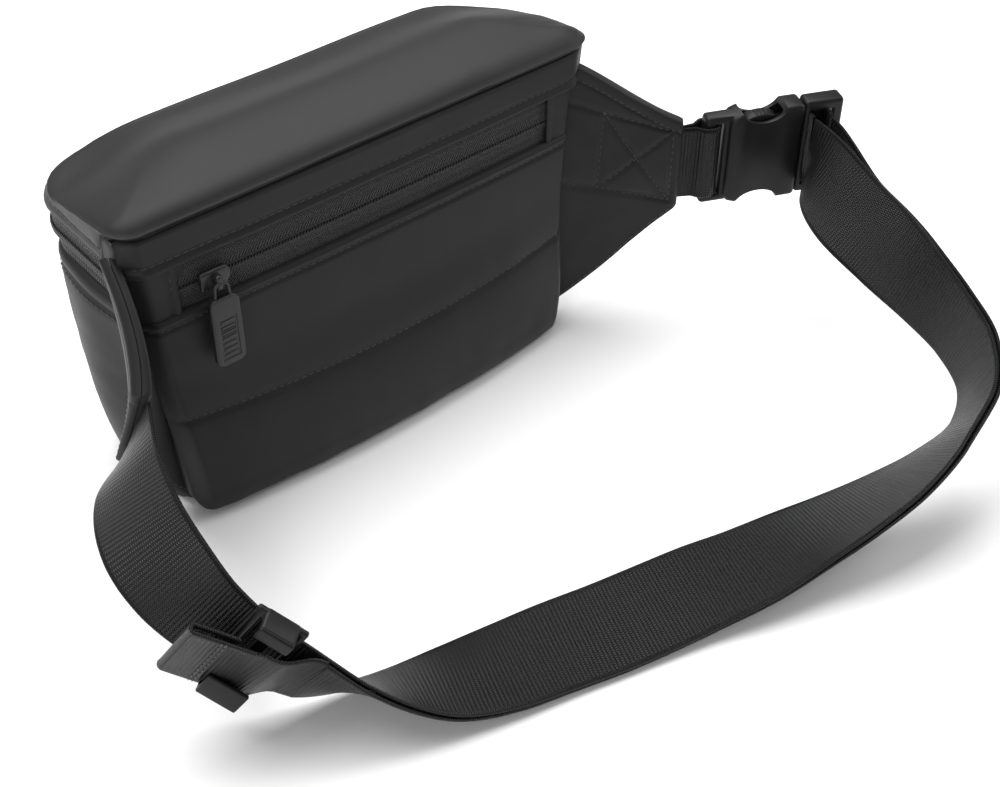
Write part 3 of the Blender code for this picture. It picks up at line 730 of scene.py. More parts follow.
def make_tub():
    """Padded front, sides and base with a rolled lip, a lip seam and soft hollows."""
    wrinkle = sizes().wrinkle
    outer = [(0.0, 14), (0.0, 7.5), (0.5, 5.0), (1.8, 2.6), (4.0, 1.0), (7.0, 0.2)]
    outer = [(z * MM, inset * MM) for z, inset in outer]
    heights = np.linspace(10 * MM, 101 * MM, 34)
    outer += [(float(z), 0.0) for z in heights]
    lip = [(102.6, 0.9), (103.6, 0.9), (104.6, 0.1), (106.5, -0.3), (108.4, 0.0),
           (109.7, 0.9), (110.0, 2.0), (109.4, 3.0), (107.5, 3.6)]
    outer += [(z * MM, inset * MM) for z, inset in lip]
    verts = []
    for z, inset in outer:
        back = mix(-36.5 * MM, BACK_Y + 2.2 * MM, smooth(z / (30 * MM)))
        ring = plan(max(z, 0), inset, back, back_round=9 * MM)
        for i, point in enumerate(ring):
            out = outward(ring, i)
            amount = swell_front(point[0], point[1], z)
            fade = smooth((z - 6 * MM) / (12 * MM)) * smooth((112 * MM - z) / (12 * MM))
            fade *= smooth((point[1] + 36 * MM) / (14 * MM))
            amount += wrinkle * fade * (ripple(point, 0.045, 1) * 0.8
                                        + ripple((point[0], point[1], z * 2.4), 0.016, 2) * 0.25)
            if point[1] < -34 * MM:
                amount = 0
            verts.append(Vector(point) + out * amount)
    count = len(plan(0, 0))
    faces = ring_faces(len(outer), count, caps=(True, False))
    thick = 4.2 * MM
    inner = [(107.0 * MM, thick), (80 * MM, thick), (40 * MM, thick), (12 * MM, thick),
             (6 * MM, thick + 3 * MM)]
    first = len(verts)
    for z, inset in inner:
        verts += plan(z, inset, SHELL_BACK_Y)
    faces += ring_faces(len(inner), count, first, caps=(False, True))
    last = first - count
    for j in range(count):
        k = (j + 1) % count
        faces.append((last + j, last + k, first + k, first + j))
    obj = make_piece("bag_tub", verts, faces, "coated_fabric", angle=60)
    settle(obj, "bag", ["body_shell"])
    ring = plan(101.2 * MM, -0.35 * MM, BACK_Y + 2.2 * MM)
    line = []
    for i, point in enumerate(ring):
        if point[1] > -27 * MM:
            out = outward(ring, i)
            line.append(tuple(Vector(point) + out * swell_front(point[0], point[1], 101 * MM)))
    stitches("tub_lip_stitches", [line], "bag")


def make_lining():
    """Lining bag: thin cloth with vertical folds, hemmed at the top."""
    start = 4.9 * MM
    rows = [(5.4 * MM, start + 3 * MM), (9 * MM, start)]
    rows += [(z, start) for z in np.linspace(14 * MM, 112 * MM, 22)]
    rows += [(114 * MM, start - 0.2 * MM), (116 * MM, start)]
    count = len(plan(0, 0))
    verts = []
    for layer in (0, 1):
        order = rows if layer == 0 else rows[::-1]
        for z, inset in order:
            ring = plan(z, inset + layer * 0.7 * MM, SHELL_BACK_Y)
            for i, point in enumerate(ring):
                fold = ripple((point[0] * 2.2, point[1] * 2.2, z * 0.5), 0.03, 5)
                fade = smooth((z - 10 * MM) / (20 * MM)) * smooth((112 * MM - z) / (20 * MM))
                verts.append(Vector(point) - outward(ring, i) * abs(fold) * 1.6 * MM * fade)
    total = 2 * len(rows)
    faces = ring_faces(total, count)
    obj = make_piece("lining_bag", verts, faces, "lining_fabric", angle=60)
    settle(obj, "bag", ["main_lining"])


def make_upper_wall():
    """Upper back wall behind the yoke, wrapped round both back corners to the zip's ends."""
    wrap = -23.5 * MM
    heights = list(np.linspace(103 * MM, 145.6 * MM, 22))
    front, back = [], []
    for z in heights:
        edge_roll = 2.0 * MM * smooth((z - 143 * MM) / (2.6 * MM))
        ring = plan(z, 0.4 * MM + edge_roll, BACK_Y + 1.6 * MM, back_round=10 * MM)
        inner = plan(z, 5.5 * MM, -36.0 * MM)
        keep = [i for i, p in enumerate(ring) if p[1] < wrap]
        split = next(n for n in range(len(keep) - 1) if keep[n + 1] - keep[n] > 1)
        keep = keep[split + 1:] + keep[:split + 1]
        row = []
        for i in keep:
            fold = ripple((ring[i][0], ring[i][1] * 2, z), 0.014, 9) * 0.5 * MM
            row.append(tuple(Vector(ring[i]) + outward(ring, i) * fold))
        front.append(row)
        back.append([inner[i] for i in keep])
    obj = two_sided("upper_back_wall", front, back, "coated_fabric")
    settle(obj, "bag", ["back_foam"])


# ---------------------------------------------------------------- lid

# Crown of the lid: height of each ring and how far it stands in, in millimetres
LID_RINGS = [
    (148.4, 1.2), (149.3, 2.0), (150.4, 3.4), (151.6, 5.6), (152.8, 8.4), (153.9, 11.8),
    (154.9, 15.8), (155.7, 20), (156.3, 25), (156.7, 30), (156.95, 35), (157.0, 38.5),
]


def lid_rim(y):
    """Height of the skirt's lower edge: it rises to the seam at the back."""
    return mix(SEAM_HEIGHT - 1.6 * MM, HEM_HEIGHT, smooth((y + 28.5 * MM) / (5 * MM)))


def lid_shape(point):
    """Settle a lid point: the crown falls to the front and the ends, and the right end is full."""
    x, y, z = point
    front = smooth((y + 14 * MM) / (48 * MM))
    left = smooth((-x - 58 * MM) / (55 * MM)) * smooth((y + 38 * MM) / (40 * MM))
    right = smooth((x - 84 * MM) / (34 * MM)) * smooth((y + 36 * MM) / (40 * MM))
    flat = min(0.62 * front + 0.40 * left + 0.22 * right, 0.86)
    base = 138 * MM
    if z > base:
        z = base + (z - base) * (1 - flat)
    swell = 5.0 * MM * smooth((x - 92 * MM) / (22 * MM))
    swell *= math.exp(-((y + 26 * MM) / (30 * MM)) ** 2)
    high = smooth((z - HEM_HEIGHT) / (14 * MM))
    gather = smooth((-x - 66 * MM) / (48 * MM)) * smooth((y + 5 * MM) / (35 * MM)) * high
    return Vector((x + swell + 4 * MM * gather, y - 4 * MM * gather, z))


def make_lid():
    """Crowned lid: soft top, rolled back seam, hemmed skirt over the main zip."""
    wrinkle = sizes().wrinkle
    rings = []
    for t in np.linspace(0, 1, 12):
        inset = -0.3 * MM * math.sin(math.pi * t)
        inset += 0.8 * MM * bump(t, 0.27, 0.12)
        z_plan = mix(HEM_HEIGHT, SEAM_HEIGHT, t)
        ring = []
        for x, y, _ in plan(z_plan, inset, front_round=mix(CORNER_FRONT, 33 * MM, t * t)):
            ring.append((x, y, mix(lid_rim(y), SEAM_HEIGHT, t)))
        rings.append(ring)
    for z, inset in LID_RINGS:
        rings.append(plan(SEAM_HEIGHT, inset * MM, level=z * MM,
                          front_round=34 * MM + inset * 0.9 * MM))
    count = len(rings[0])
    verts = []
    for number, ring in enumerate(rings):
        for i, point in enumerate(ring):
            x, y, z = point
            up = smooth((number - 9) / 8)
            out = outward(ring, i) * (1 - up) + Vector((0, 0, 1)) * up
            corner = smooth((abs(x) - 70 * MM) / (40 * MM))
            lift = wrinkle * (0.75 * ripple((x, y * 1.5, z * 1.5), 0.050, 3)
                              + 0.35 * ripple((x * 0.8, y * 2.2, z * 2), 0.018, 4)
                              * (0.3 + corner))
            back = smooth((-y - 25 * MM) / (12 * MM))
            if number >= 8:
                lift += 1.3 * MM * back * bump(number, 14, 6)
                lift += 1.2 * MM * back * bump(x, 0.052, 0.012) * ripple(point, 0.008, 6)
            fade = smooth(number / 3)
            verts.append(lid_shape(point) + out * lift * fade)
    faces = ring_faces(len(rings), count, caps=(False, True))
    first = len(verts)
    wall = 3.0 * MM
    inner = [plan(SEAM_HEIGHT, inset * MM + wall * 0.8, level=z * MM - wall,
                  front_round=34 * MM + inset * 0.9 * MM)
             for z, inset in reversed(LID_RINGS)]
    for t in (0.6, 0.3, 0.0):
        ring = []
        for x, y, _ in plan(mix(HEM_HEIGHT, SEAM_HEIGHT, t), wall):
            ring.append((x, y, mix(lid_rim(y), SEAM_HEIGHT, t)))
        inner.append(ring)
    for ring in inner:
        for i, point in enumerate(ring):
            deep = Vector((0, 0, -2.8 * MM)) if point[2] > SEAM_HEIGHT - 4 * MM else Vector()
            verts.append(lid_shape(point) + deep * smooth((point[1] + 36 * MM) / (12 * MM)))
    faces += ring_faces(len(inner), count, first, caps=(True, False))
    last = first + (len(inner) - 1) * count
    for j in range(count):
        k = (j + 1) % count
        faces.append((j, k, last + k, last + j))
    obj = make_piece("soft_lid", verts, faces, "coated_fabric", angle=60)
    shell = bmesh.new()
    shell.from_mesh(obj.data)
    caps = [face for face in shell.faces if len(face.verts) > 4]
    bmesh.ops.triangulate(shell, faces=caps, ngon_method="BEAUTY")
    shell.to_mesh(obj.data)
    shell.free()
    settle(obj, "lid", ["top_panel"])
    ring = rings[3]
    line = [tuple(lid_shape(p) + outward(ring, i) * 0.25 * MM)
            for i, p in enumerate(ring) if p[1] > -23 * MM]
    stitches("lid_hem_stitches", [line], "lid")
    make_hinge_fold()


def make_hinge_fold():
    """Strip of cloth sewn into the back wall and the lid at the seam where the lid opens; here it is
    one fixed piece that rides on no body.
    """
    reach = 103 * MM
    steps = 8
    front, back = [], []
    for k in range(steps + 1):
        t = k / steps
        z = mix(139.0 * MM, 149.6 * MM, t)
        y = mix(-38.4 * MM, -38.9 * MM, t) - 0.9 * MM * bump(t, 0.68, 0.3)
        xs = [mix(-reach, reach, j / 60) for j in range(61)]
        front.append([(x, y - 0.35 * MM, z) for x in xs])
        back.append([(x, y + 0.35 * MM, z) for x in xs])
    fold = two_sided("lid_hinge_fold", front, back, "coated_fabric")
    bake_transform(fold)


# ---------------------------------------------------------------- back

def panel_relief(x, z):
    """Seams and channels of the padded back panel: negative is a hollow."""
    across = abs(x) / half_width(z)
    inside = smooth((1 - across) / 0.06)
    quilt = QUILT_HEIGHT + 5 * MM * (x / half_width(z)) ** 2
    relief_sum = 1.1 * MM * math.exp(-((z - quilt) / (1.5 * MM)) ** 2) * inside
    relief_sum += 0.7 * MM * math.exp(-((z - quilt) / (6 * MM)) ** 2) * inside
    relief_sum += 0.9 * MM * math.exp(-((z - (PANEL_TOP - 5.2 * MM)) / (1.1 * MM)) ** 2)
    relief_sum -= 0.7 * MM * bump(z, PANEL_TOP - 2.2 * MM, 2.2 * MM)
    relief_sum += 2.4 * MM * smooth((z - PANEL_TOP + 1.3 * MM) / (1.3 * MM)) ** 2
    return -relief_sum


def panel_wrinkle(x, z):
    """Soft unevenness, stronger along the quilting and near the base."""
    low = smooth((34 * MM - z) / (26 * MM))
    near = math.exp(-((z - QUILT_HEIGHT) / (9 * MM)) ** 2)
    side = smooth((abs(x) / half_width(z) - 0.75) / 0.2)
    value = ripple((x, 0, z), 0.055, 11) * 0.7
    value += ripple((x, 0, z * 0.5), 0.014, 12) * (0.16 + 0.5 * low + 0.25 * near)
    value += ripple((x * 0.5, 0, z), 0.016, 13) * 0.45 * side
    return sizes().wrinkle * value


def panel_y(x, z):
    return back_surface(x, z) - panel_relief(x, z) - panel_wrinkle(x, z)


def make_back_panel():
    """Padded panel against the wearer, with a quilted channel and two rows of stitches."""
    rows, cols = 92, 150
    front, back = [], []
    low = 3.5 * MM
    for i in range(rows + 1):
        z = mix(low, PANEL_TOP, 1 - (1 - i / rows) ** 1.25)
        low_corner = min(max((15 * MM - z) / (15 * MM), 0), 0.999)
        reach = half_width(z) - 0.5 * MM - 9 * MM * (1 - math.sqrt(1 - low_corner ** 2))
        xs = [reach * math.sin(math.pi / 2 * (2 * j / cols - 1)) for j in range(cols + 1)]
        front.append([(x, min(panel_y(x, z), -35.6 * MM), z) for x in xs])
        back.append([(x, -35.1 * MM, z) for x in xs])
    obj = two_sided("padded_back_panel", front, back, "coated_fabric", angle=70)
    settle(obj, "bag", ["back_panel"])
    lines = []
    for height in ("top", "quilt"):
        line = []
        for x in np.linspace(-0.985, 0.985, 120):
            z = PANEL_TOP - 5.2 * MM
            if height == "quilt":
                z = QUILT_HEIGHT + 5 * MM * x ** 2
            place_x = x * (half_width(z) - 3 * MM)
            line.append((place_x, panel_y(place_x, z) - 0.05 * MM, z))
        lines.append(line)
    stitches("back_panel_stitches", lines, "bag")


def yoke_y(x, z):
    value = back_surface(x, z)
    value -= 0.7 * MM * bump(z, YOKE_BOTTOM + 2.2 * MM, 2.2 * MM)
    value += 0.9 * MM * math.exp(-((z - (YOKE_BOTTOM + 5.0 * MM)) / (1.1 * MM)) ** 2)
    value += 2.4 * MM * smooth((YOKE_BOTTOM + 1.3 * MM - z) / (1.3 * MM)) ** 2
    value += 2.6 * MM * smooth((z - YOKE_TOP + 2.0 * MM) / (2.0 * MM)) ** 2
    value -= 0.5 * sizes().wrinkle * ripple((x * 0.7, 0, z), 0.020, 21)
    return value


def make_yoke():
    """Cloth band between the rear zip and the lid's seam."""
    rows, cols = 26, 120
    front, back = [], []
    for i in range(rows + 1):
        z = mix(YOKE_BOTTOM, YOKE_TOP, i / rows)
        reach = half_width(z) - 0.5 * MM
        xs = [reach * math.sin(math.pi / 2 * (2 * j / cols - 1)) for j in range(cols + 1)]
        wide = [x + 3.4 * MM * smooth((x - 96 * MM) / (18 * MM)) for x in xs]
        front.append([(w, yoke_y(x, z), z) for w, x in zip(wide, xs)])
        back.append([(w, -35.3 * MM, z) for w in wide])
    obj = two_sided("back_yoke_cloth", front, back, "coated_fabric", angle=70)
    settle(obj, "bag", ["back_yoke"])
    z = YOKE_BOTTOM + 5.0 * MM
    line = [(x, yoke_y(x, z) - 0.05 * MM, z)
            for x in np.linspace(-1, 1, 120) * (half_width(z) - 5 * MM)]
    stitches("yoke_stitches", [line], "bag")


# ---------------------------------------------------------------- zips

def tape_y(x, z):
    """The rear zip's tapes lie in the slot, and rise a little to the middle."""
    middle = 0.8 * MM * math.exp(-((z - ZIP_HEIGHT) / (2.2 * MM)) ** 2)
    slit = 0.9 * MM * math.exp(-((z - ZIP_HEIGHT) / (0.35 * MM)) ** 2)
    return back_surface(x, z) + 2.4 * MM - middle + slit


def rear_tape(name, node_name, z0, z1):
    rows, cols = 16, 110
    reach = 98.5 * MM
    xs = [mix(-reach, reach, j / cols) for j in range(cols + 1)]
    front, back, uvs = [], [], []
    for i in range(rows + 1):
        z = mix(z0, z1, i / rows)
        front.append([(x, tape_y(x, z), z) for x in xs])
        back.append([(x, tape_y(x, z) + 1.0 * MM, z) for x in xs])
        uvs.append([(z - ZIP_HEIGHT, x) for x in xs])
    obj = two_sided(name, front, back, "zip_fabric", uvs)
    settle(obj, "bag", [node_name])


def make_rear_zip():
    """Rear zip's tapes and end tabs, and the flat pocket lining behind them."""
    rear_tape("rear_tape_lower", "rear_zip_tape_lower", PANEL_TOP - 2 * MM,
              ZIP_HEIGHT - 0.1 * MM)
    rear_tape("rear_tape_upper", "rear_zip_tape_upper", ZIP_HEIGHT + 0.1 * MM,
              YOKE_BOTTOM + 2 * MM)
    for side, name in ((-1, "left"), (1, "right")):
        front, back = [], []
        for i in range(9):
            z = mix(PANEL_TOP - 1 * MM, YOKE_BOTTOM + 1 * MM, i / 8)
            outer_end = half_width(z) - 1.5 * MM
            row, under = [], []
            for j in range(13):
                x = side * mix(93.5 * MM, outer_end, j / 12)
                fold = 0.6 * MM * bump(j, 1, 1.6) - 0.5 * MM * bump(j, 3, 1.2)
                y = back_surface(x, z) + 0.9 * MM - fold
                y -= 0.3 * MM * ripple((x, 0, z), 0.008, 31)
                row.append((x, y, z))
                under.append((x, y + 1.2 * MM, z))
            front.append(row)
            back.append(under)
        obj = two_sided("rear_zip_end_" + name, front, back, "coated_fabric")
        settle(obj, "bag", ["rear_zip_end_tab_" + name])
        x = side * 96.2 * MM
        line = [(x, back_surface(x, z) + 0.95 * MM, z)
                for z in np.linspace(PANEL_TOP + 0.6 * MM, YOKE_BOTTOM - 0.6 * MM, 8)]
        stitches("rear_zip_end_stitches_" + name, [line], "bag")
    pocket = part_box("rear_pocket_lining")
    front, back = [], []
    for i in range(15):
        z = mix(pocket[0][2], 104 * MM, i / 14)
        reach = half_width(z) - 5 * MM
        xs = [mix(-reach, reach, j / 30) for j in range(31)]
        soft = [0.3 * MM * ripple((x, 0, z), 0.02, 41) for x in xs]
        front.append([(x, -34.6 * MM + s, z) for x, s in zip(xs, soft)])
        back.append([(x, -33.9 * MM + s, z) for x, s in zip(xs, soft)])
    obj = two_sided("pocket_lining_cloth", front, back, "lining_fabric")
    settle(obj, "bag", ["rear_pocket_lining"])


def zip_band(name, node_name, z0, z1, body):
    """Tape of the main zip round the ends and the front."""
    front, back, uvs = [], [], []
    for i in range(13):
        z = mix(z0, z1, i / 12)
        rise = 0.7 * MM * math.exp(-((z - MAIN_ZIP_HEIGHT) / (2.4 * MM)) ** 2)
        ring = plan(z, 1.1 * MM - rise, SHELL_BACK_Y)
        keep = [j for j, p in enumerate(ring) if p[1] > -24.5 * MM]
        row = [ring[j] for j in keep]
        under = [tuple(Vector(ring[j]) - outward(ring, j) * 1.0 * MM) for j in keep]
        length = 0.0
        runs = []
        for a, b in zip([row[0]] + row, row):
            length += (Vector(b) - Vector(a)).length
            runs.append((z - MAIN_ZIP_HEIGHT, length))
        front.append(row)
        back.append(under)
        uvs.append(runs)
    obj = two_sided(name, front, back, "zip_fabric", uvs)
    settle(obj, body, [node_name])


def make_main_zip():
    zip_band("main_tape_lower", "main_zip_tape_lower", 107.5 * MM, MAIN_ZIP_HEIGHT - 0.1 * MM,
             "bag")
    zip_band("main_tape_upper", "main_zip_tape_upper", MAIN_ZIP_HEIGHT + 0.1 * MM,
             HEM_HEIGHT + 1.5 * MM, "lid")
    for body, step in (("bag", -0.85 * MM), ("lid", 0.85 * MM)):
        z = MAIN_ZIP_HEIGHT + step
        ring = plan(z, 0.2 * MM, SHELL_BACK_Y)
        line = [p for p in ring if p[1] > -23.5 * MM]
        coil("main_coil_" + ("lower" if body == "bag" else "upper"), [line], body)


def make_slider(prefix, body, pull_body, facing):
    """Slider with a domed body, flanges and bridge; wire link; ribbed soft tab."""
    low, high = (Vector(c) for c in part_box(prefix + "_slider"))
    centre = (low + high) / 2
    face = high.y if facing < 0 else low.y
    depth = 1.7 * MM if prefix == "rear" else 0.4 * MM
    base = rounded_box(prefix + "_slider_body", (-5.6 * MM, -1.5 * MM, -3.7 * MM),
                       (5.6 * MM, 1.5 * MM, 3.7 * MM), 1.1 * MM, "zip_metal")
    nose = rounded_box("nose", (-6.6 * MM, -1.3 * MM, -2.4 * MM), (-2 * MM, 1.3 * MM, 2.4 * MM),
                       1.0 * MM, "zip_metal")
    bridge = rounded_box("bridge", (-1.5 * MM, 0.5 * MM, -3.0 * MM), (1.5 * MM, 5.6 * MM, 3.0 * MM),
                         1.2 * MM, "zip_metal")
    hole = rounded_box("hole", (-3 * MM, 2.0 * MM, -1.5 * MM), (3 * MM, 4.4 * MM, 1.5 * MM),
                       0.0, "zip_metal")
    combine(bridge, [hole], "DIFFERENCE")
    combine(base, [nose, bridge], "UNION")
    soften(base, 0.25 * MM)
    middle = Vector((centre.x, face + facing * (1.6 * MM - depth), centre.z))
    turn = Matrix.Rotation(math.pi, 4, "Z") if facing < 0 else Matrix.Identity(4)
    place(base, Matrix.Translation(middle) @ turn @ Matrix.Diagonal((1.12, 1.0, 1.15, 1.0)))
    settle(base, body, [prefix + "_slider"])
    link(prefix, pull_body)
    tab(prefix, pull_body)


def link(prefix, body):
    """Wire link, round and smooth, tapering out towards the tab."""
    low, high = (Vector(c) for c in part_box(prefix + "_pull_link"))
    centre = (low + high) / 2
    half_x = (high.x - low.x) / 2 - 0.8 * MM
    half_z = (high.z - low.z) / 2 - 0.8 * MM
    line = []
    r = 1.8 * MM
    for cx, cz, start in ((half_x - r, half_z - r, 90), (half_x - r, -half_z + r, 0),
                          (-half_x + r, -half_z + r, -90), (-half_x + r, half_z - r, -180)):
        for x, z in arc(cx, cz, r, start, start - 90, 8):
            line.append(Vector((centre.x + x * (1.0 if z < 0 else 0.9), centre.y, centre.z + z)))
    wire = 0.72 * MM
    verts = []
    for i, point in enumerate(line):
        along = (line[(i + 1) % len(line)] - line[i - 1]).normalized()
        side = Vector((-along.z, 0, along.x))
        for j in range(12):
            a = 2 * math.pi * j / 12
            verts.append(point + side * wire * math.cos(a) + Vector((0, wire * math.sin(a), 0)))
    faces = ring_faces(len(line), 12, caps=(False, False))
    last = (len(line) - 1) * 12
    faces += [(last + j, last + (j + 1) % 12, (j + 1) % 12, j) for j in range(12)]
    obj = make_piece(prefix + "_wire_link", verts, faces, "zip_metal")
    settle(obj, body, [prefix + "_pull_link"])


def tab(prefix, body):
    """Soft moulded tab with round corners and a sunk field of plain ribs."""
    low, high = (Vector(c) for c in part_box(prefix + "_pull_tab"))
    centre = (low + high) / 2
    half = (high - low) / 2
    wide = half.x + 0.9 * MM
    r = 3.4 * MM
    outline = []
    for cx, cz, start in ((wide - r, half.z - r, 90), (wide - r, -half.z + r, 0),
                          (-wide + r, -half.z + r, -90), (-wide + r, half.z - r, -180)):
        outline += arc(cx, cz, r, start, start - 90, 7)
    shell = outline_solid(prefix + "_soft_tab", outline, half.y * 2, "soft_rubber")
    soften(shell, 0.9 * MM, 4)
    cutters = []
    for side in (-1, 1):
        lo, hi = sorted((side * (half.y - 0.35 * MM), side * (half.y + 1 * MM)))
        cutters.append(rounded_box("field", (-half.x + 1.6 * MM, lo, -half.z + 3.2 * MM),
                                   (half.x - 1.6 * MM, hi, half.z - 9 * MM), 0.25 * MM,
                                   "soft_rubber"))
    combine(shell, cutters, "DIFFERENCE")
    ribs = []
    rib_count = 7
    for k in range(rib_count):
        z = mix(-half.z + 5.4 * MM, half.z - 11.4 * MM, k / (rib_count - 1))
        ribs.append(rounded_box("rib", (-half.x + 2.6 * MM, -half.y + 0.05 * MM, z - 0.7 * MM),
                                (half.x - 2.6 * MM, half.y - 0.05 * MM, z + 0.7 * MM),
                                0.3 * MM, "soft_rubber", 2))
    combine(shell, ribs, "UNION")
    soften(shell, 0.18 * MM)
    place(shell, Matrix.Translation(centre))
    settle(shell, body, [prefix + "_pull_tab"])


# ---------------------------------------------------------------- wings

def right_path(u):
    along = WING_LENGTH * u
    return (half_width(74 * MM) + 0.8 * MM + along * math.cos(WING_ANGLE),
            WING_ROOT_Y - along * math.sin(WING_ANGLE), 0)


def left_path(u):
    x0 = -half_width(74 * MM) - 1.4 * MM
    end = (-130.5 * MM, -59 * MM)
    return (mix(x0, end[0], u), mix(WING_ROOT_Y, end[1], u), 0)


def wing_frame(side, u, v):
    """Middle point, outward direction and full thickness of one wing layer."""
    path = right_path if side > 0 else left_path
    height = BUCKLE_HEIGHT if side > 0 else 80 * MM
    end_half = 23.6 * MM if side > 0 else 22.0 * MM
    lean = Vector((0, 0, 0)) if side > 0 else Vector((0.10, -0.42, 0))
    base = Vector(path(u))
    ahead = Vector(path(min(u + 0.02, 1.0))) - Vector(path(max(u - 0.02, 0.0)))
    normal = Vector((ahead.y, -ahead.x, 0)).normalized() * side
    narrow = smooth(u) * 0.2 + u * 0.8
    low = mix(WING_LOW, height - end_half, narrow)
    high = mix(WING_HIGH, height + end_half, narrow)
    z = mix(low, high, v)
    taper = (half_width(z) - half_width(74 * MM)) * side * (1 - u)
    point = Vector((base.x + taper, base.y, z)) + lean * (z - height) * narrow
    return point, normal


def wing_height(side, u, v):
    return wing_frame(side, u, v)[0].z


def box_corners():
    """Sewn box at the right wing's outer end: distances in from the end, and heights."""
    return [(5 * MM, 95 * MM), (41 * MM, 110 * MM), (41 * MM, 71 * MM), (5 * MM, 57.5 * MM)]


def box_lines():
    a, b, c, d = box_corners()
    root_high = (57.5 * MM, 117 * MM)
    root_low = (57.5 * MM, 76 * MM)
    return [(a, b), (b, c), (c, d), (d, a), (a, c), (b, d), (b, root_high), (c, root_low)]


def line_gap(x, z):
    """Distance from a point of the wing to the nearest line of the sewn box."""
    here = Vector((x, z))
    best = 1.0
    for start, end in box_lines():
        a, b = Vector(start), Vector(end)
        t = min(max((here - a).dot(b - a) / (b - a).length_squared, 0), 1)
        best = min(best, (a + (b - a) * t - here).length)
    return best


def wing_thickness(side, layer, u, v):
    """Thickness of one padded layer: rolled edges, a bound top edge and the sewn lines."""
    tall = mix(WING_HIGH - WING_LOW, 45 * MM, u)
    edge = min(v, 1 - v) * tall
    outer = (1 - u) * WING_LENGTH
    roll = 1.0
    for gap in (edge, outer):
        near = min(gap / (2.6 * MM), 1.0)
        roll *= 0.25 + 0.75 * math.sqrt(1 - (1 - near) ** 2)
    full = WING_LAYER * roll
    point, _ = wing_frame(side, u, v)
    down = (1 - v) * tall
    full -= 0.7 * MM * math.exp(-((down - 6.5 * MM) / (1.0 * MM)) ** 2)
    if side > 0:
        full -= 0.9 * MM * math.exp(-(line_gap(outer, point.z) / (1.1 * MM)) ** 2)
        full += 0.45 * MM * ripple((point.x, point.z * 0.8, layer), 0.011, 53) * roll
    full += 0.8 * MM * ripple((point.x, point.z * 0.7, layer), 0.024, 51) * roll
    return max(full, 0.5 * MM)


def make_wing_layer(side, layer, name, node_name):
    """One padded layer: full at its middle, thin and rolled at its edges."""
    rows, cols = 84, 56
    front, back = [], []
    for i in range(rows + 1):
        v = i / rows
        v = v - 0.06 * math.sin(2 * math.pi * v)
        row, under = [], []
        for j in range(cols + 1):
            u = 1 - (1 - j / cols) ** 1.35 * 1.05
            point, normal = wing_frame(side, max(u, 0.0), v)
            if u < 0:
                point = point - (wing_frame(side, 0.05, v)[0] - point) * (-u / 0.05)
            thick = wing_thickness(side, layer, max(u, 0.0), v)
            row.append(tuple(point + normal * (0.15 * MM + thick) * layer))
            under.append(tuple(point + normal * 0.15 * MM * layer))
        front.append(row)
        back.append(under)
    obj = two_sided(name, front, back, "coated_fabric", angle=80)
    settle(obj, "bag", [node_name])


def wing_point(side, layer, u, v):
    point, normal = wing_frame(side, u, v)
    lift = 0.2 * MM + wing_thickness(side, layer, u, v)
    return tuple(point + normal * layer * lift)


def wing_line(side, layer, start, end):
    """Line on a wing between two places, each given as distance in from the end and height."""
    line = []
    for t in np.linspace(0, 1, 22):
        u = 1 - mix(start[0], end[0], t) / WING_LENGTH
        low = wing_height(side, u, 0.0)
        high = wing_height(side, u, 1.0)
        v = (mix(start[1], end[1], t) - low) / (high - low)
        line.append(wing_point(side, layer, u, v))
    return line


def make_wings():
    for side, word in ((1, "right"), (-1, "left")):
        for layer, name, node_end in ((1, "face", "inner"), (-1, "back", "outer")):
            make_wing_layer(side, layer, word + "_wing_" + name, word + "_wing_" + node_end)
            lines = []
            for end, sign in ((1.0, -1), (0.0, 1)):
                line = []
                for u in np.linspace(0.03, 0.96, 30):
                    tall = wing_height(side, u, 1.0) - wing_height(side, u, 0.0)
                    inset = 6.5 * MM if end else 3.5 * MM
                    line.append(wing_point(side, layer, float(u), end + sign * inset / tall))
                lines.append(line)
            if side > 0:
                lines += [wing_line(side, layer, a, b) for a, b in box_lines()]
            else:
                lines += [wing_line(side, layer, (depth, 63 * MM), (depth, 97 * MM))
                          for depth in (4 * MM, 9 * MM)]
            stitches(word + "_wing_stitches_" + name, lines, "bag")


# ---------------------------------------------------------------- belt

def catmull(points, t):
    count = len(points) - 1
    at = min(max(t, 0.0), 1.0) * count
    i = min(int(at), count - 1)
    f = at - i
    p1, p2 = points[i], points[i + 1]
    p0 = points[i - 1] if i else 2 * p1 - p2
    p3 = points[i + 2] if i + 2 <= count else 2 * p2 - p1
    return 0.5 * ((2 * p1) + (p2 - p0) * f + (2 * p0 - 5 * p1 + 4 * p2 - p3) * f * f
                  + (3 * p1 - p0 - 3 * p2 + p3) * f ** 3)


STATIONS = [np.array(row, float) for row in ROUTE]


def belt_frame(t):
    """Centre, width direction and outward direction of the inner layer."""
    here = catmull(STATIONS, t)
    step = 0.004
    ahead = catmull(STATIONS, min(t + step, 1.0))
    behind = catmull(STATIONS, max(t - step, 0.0))
    centre = Vector(here[:3]) * MM
    along = Vector(ahead[:3] - behind[:3]).normalized()
    up = (Vector((0, 0, 1)) - along * along.z).normalized()
    out = up.cross(along)
    lean = math.radians(here[3])
    width = up * math.cos(lean) + out * math.sin(lean)
    return centre, width, out * math.cos(lean) - up * math.sin(lean)


def layer_offset(t):
    return mix(8.4 * MM, LAYER_STEP, smooth(t / 0.10))


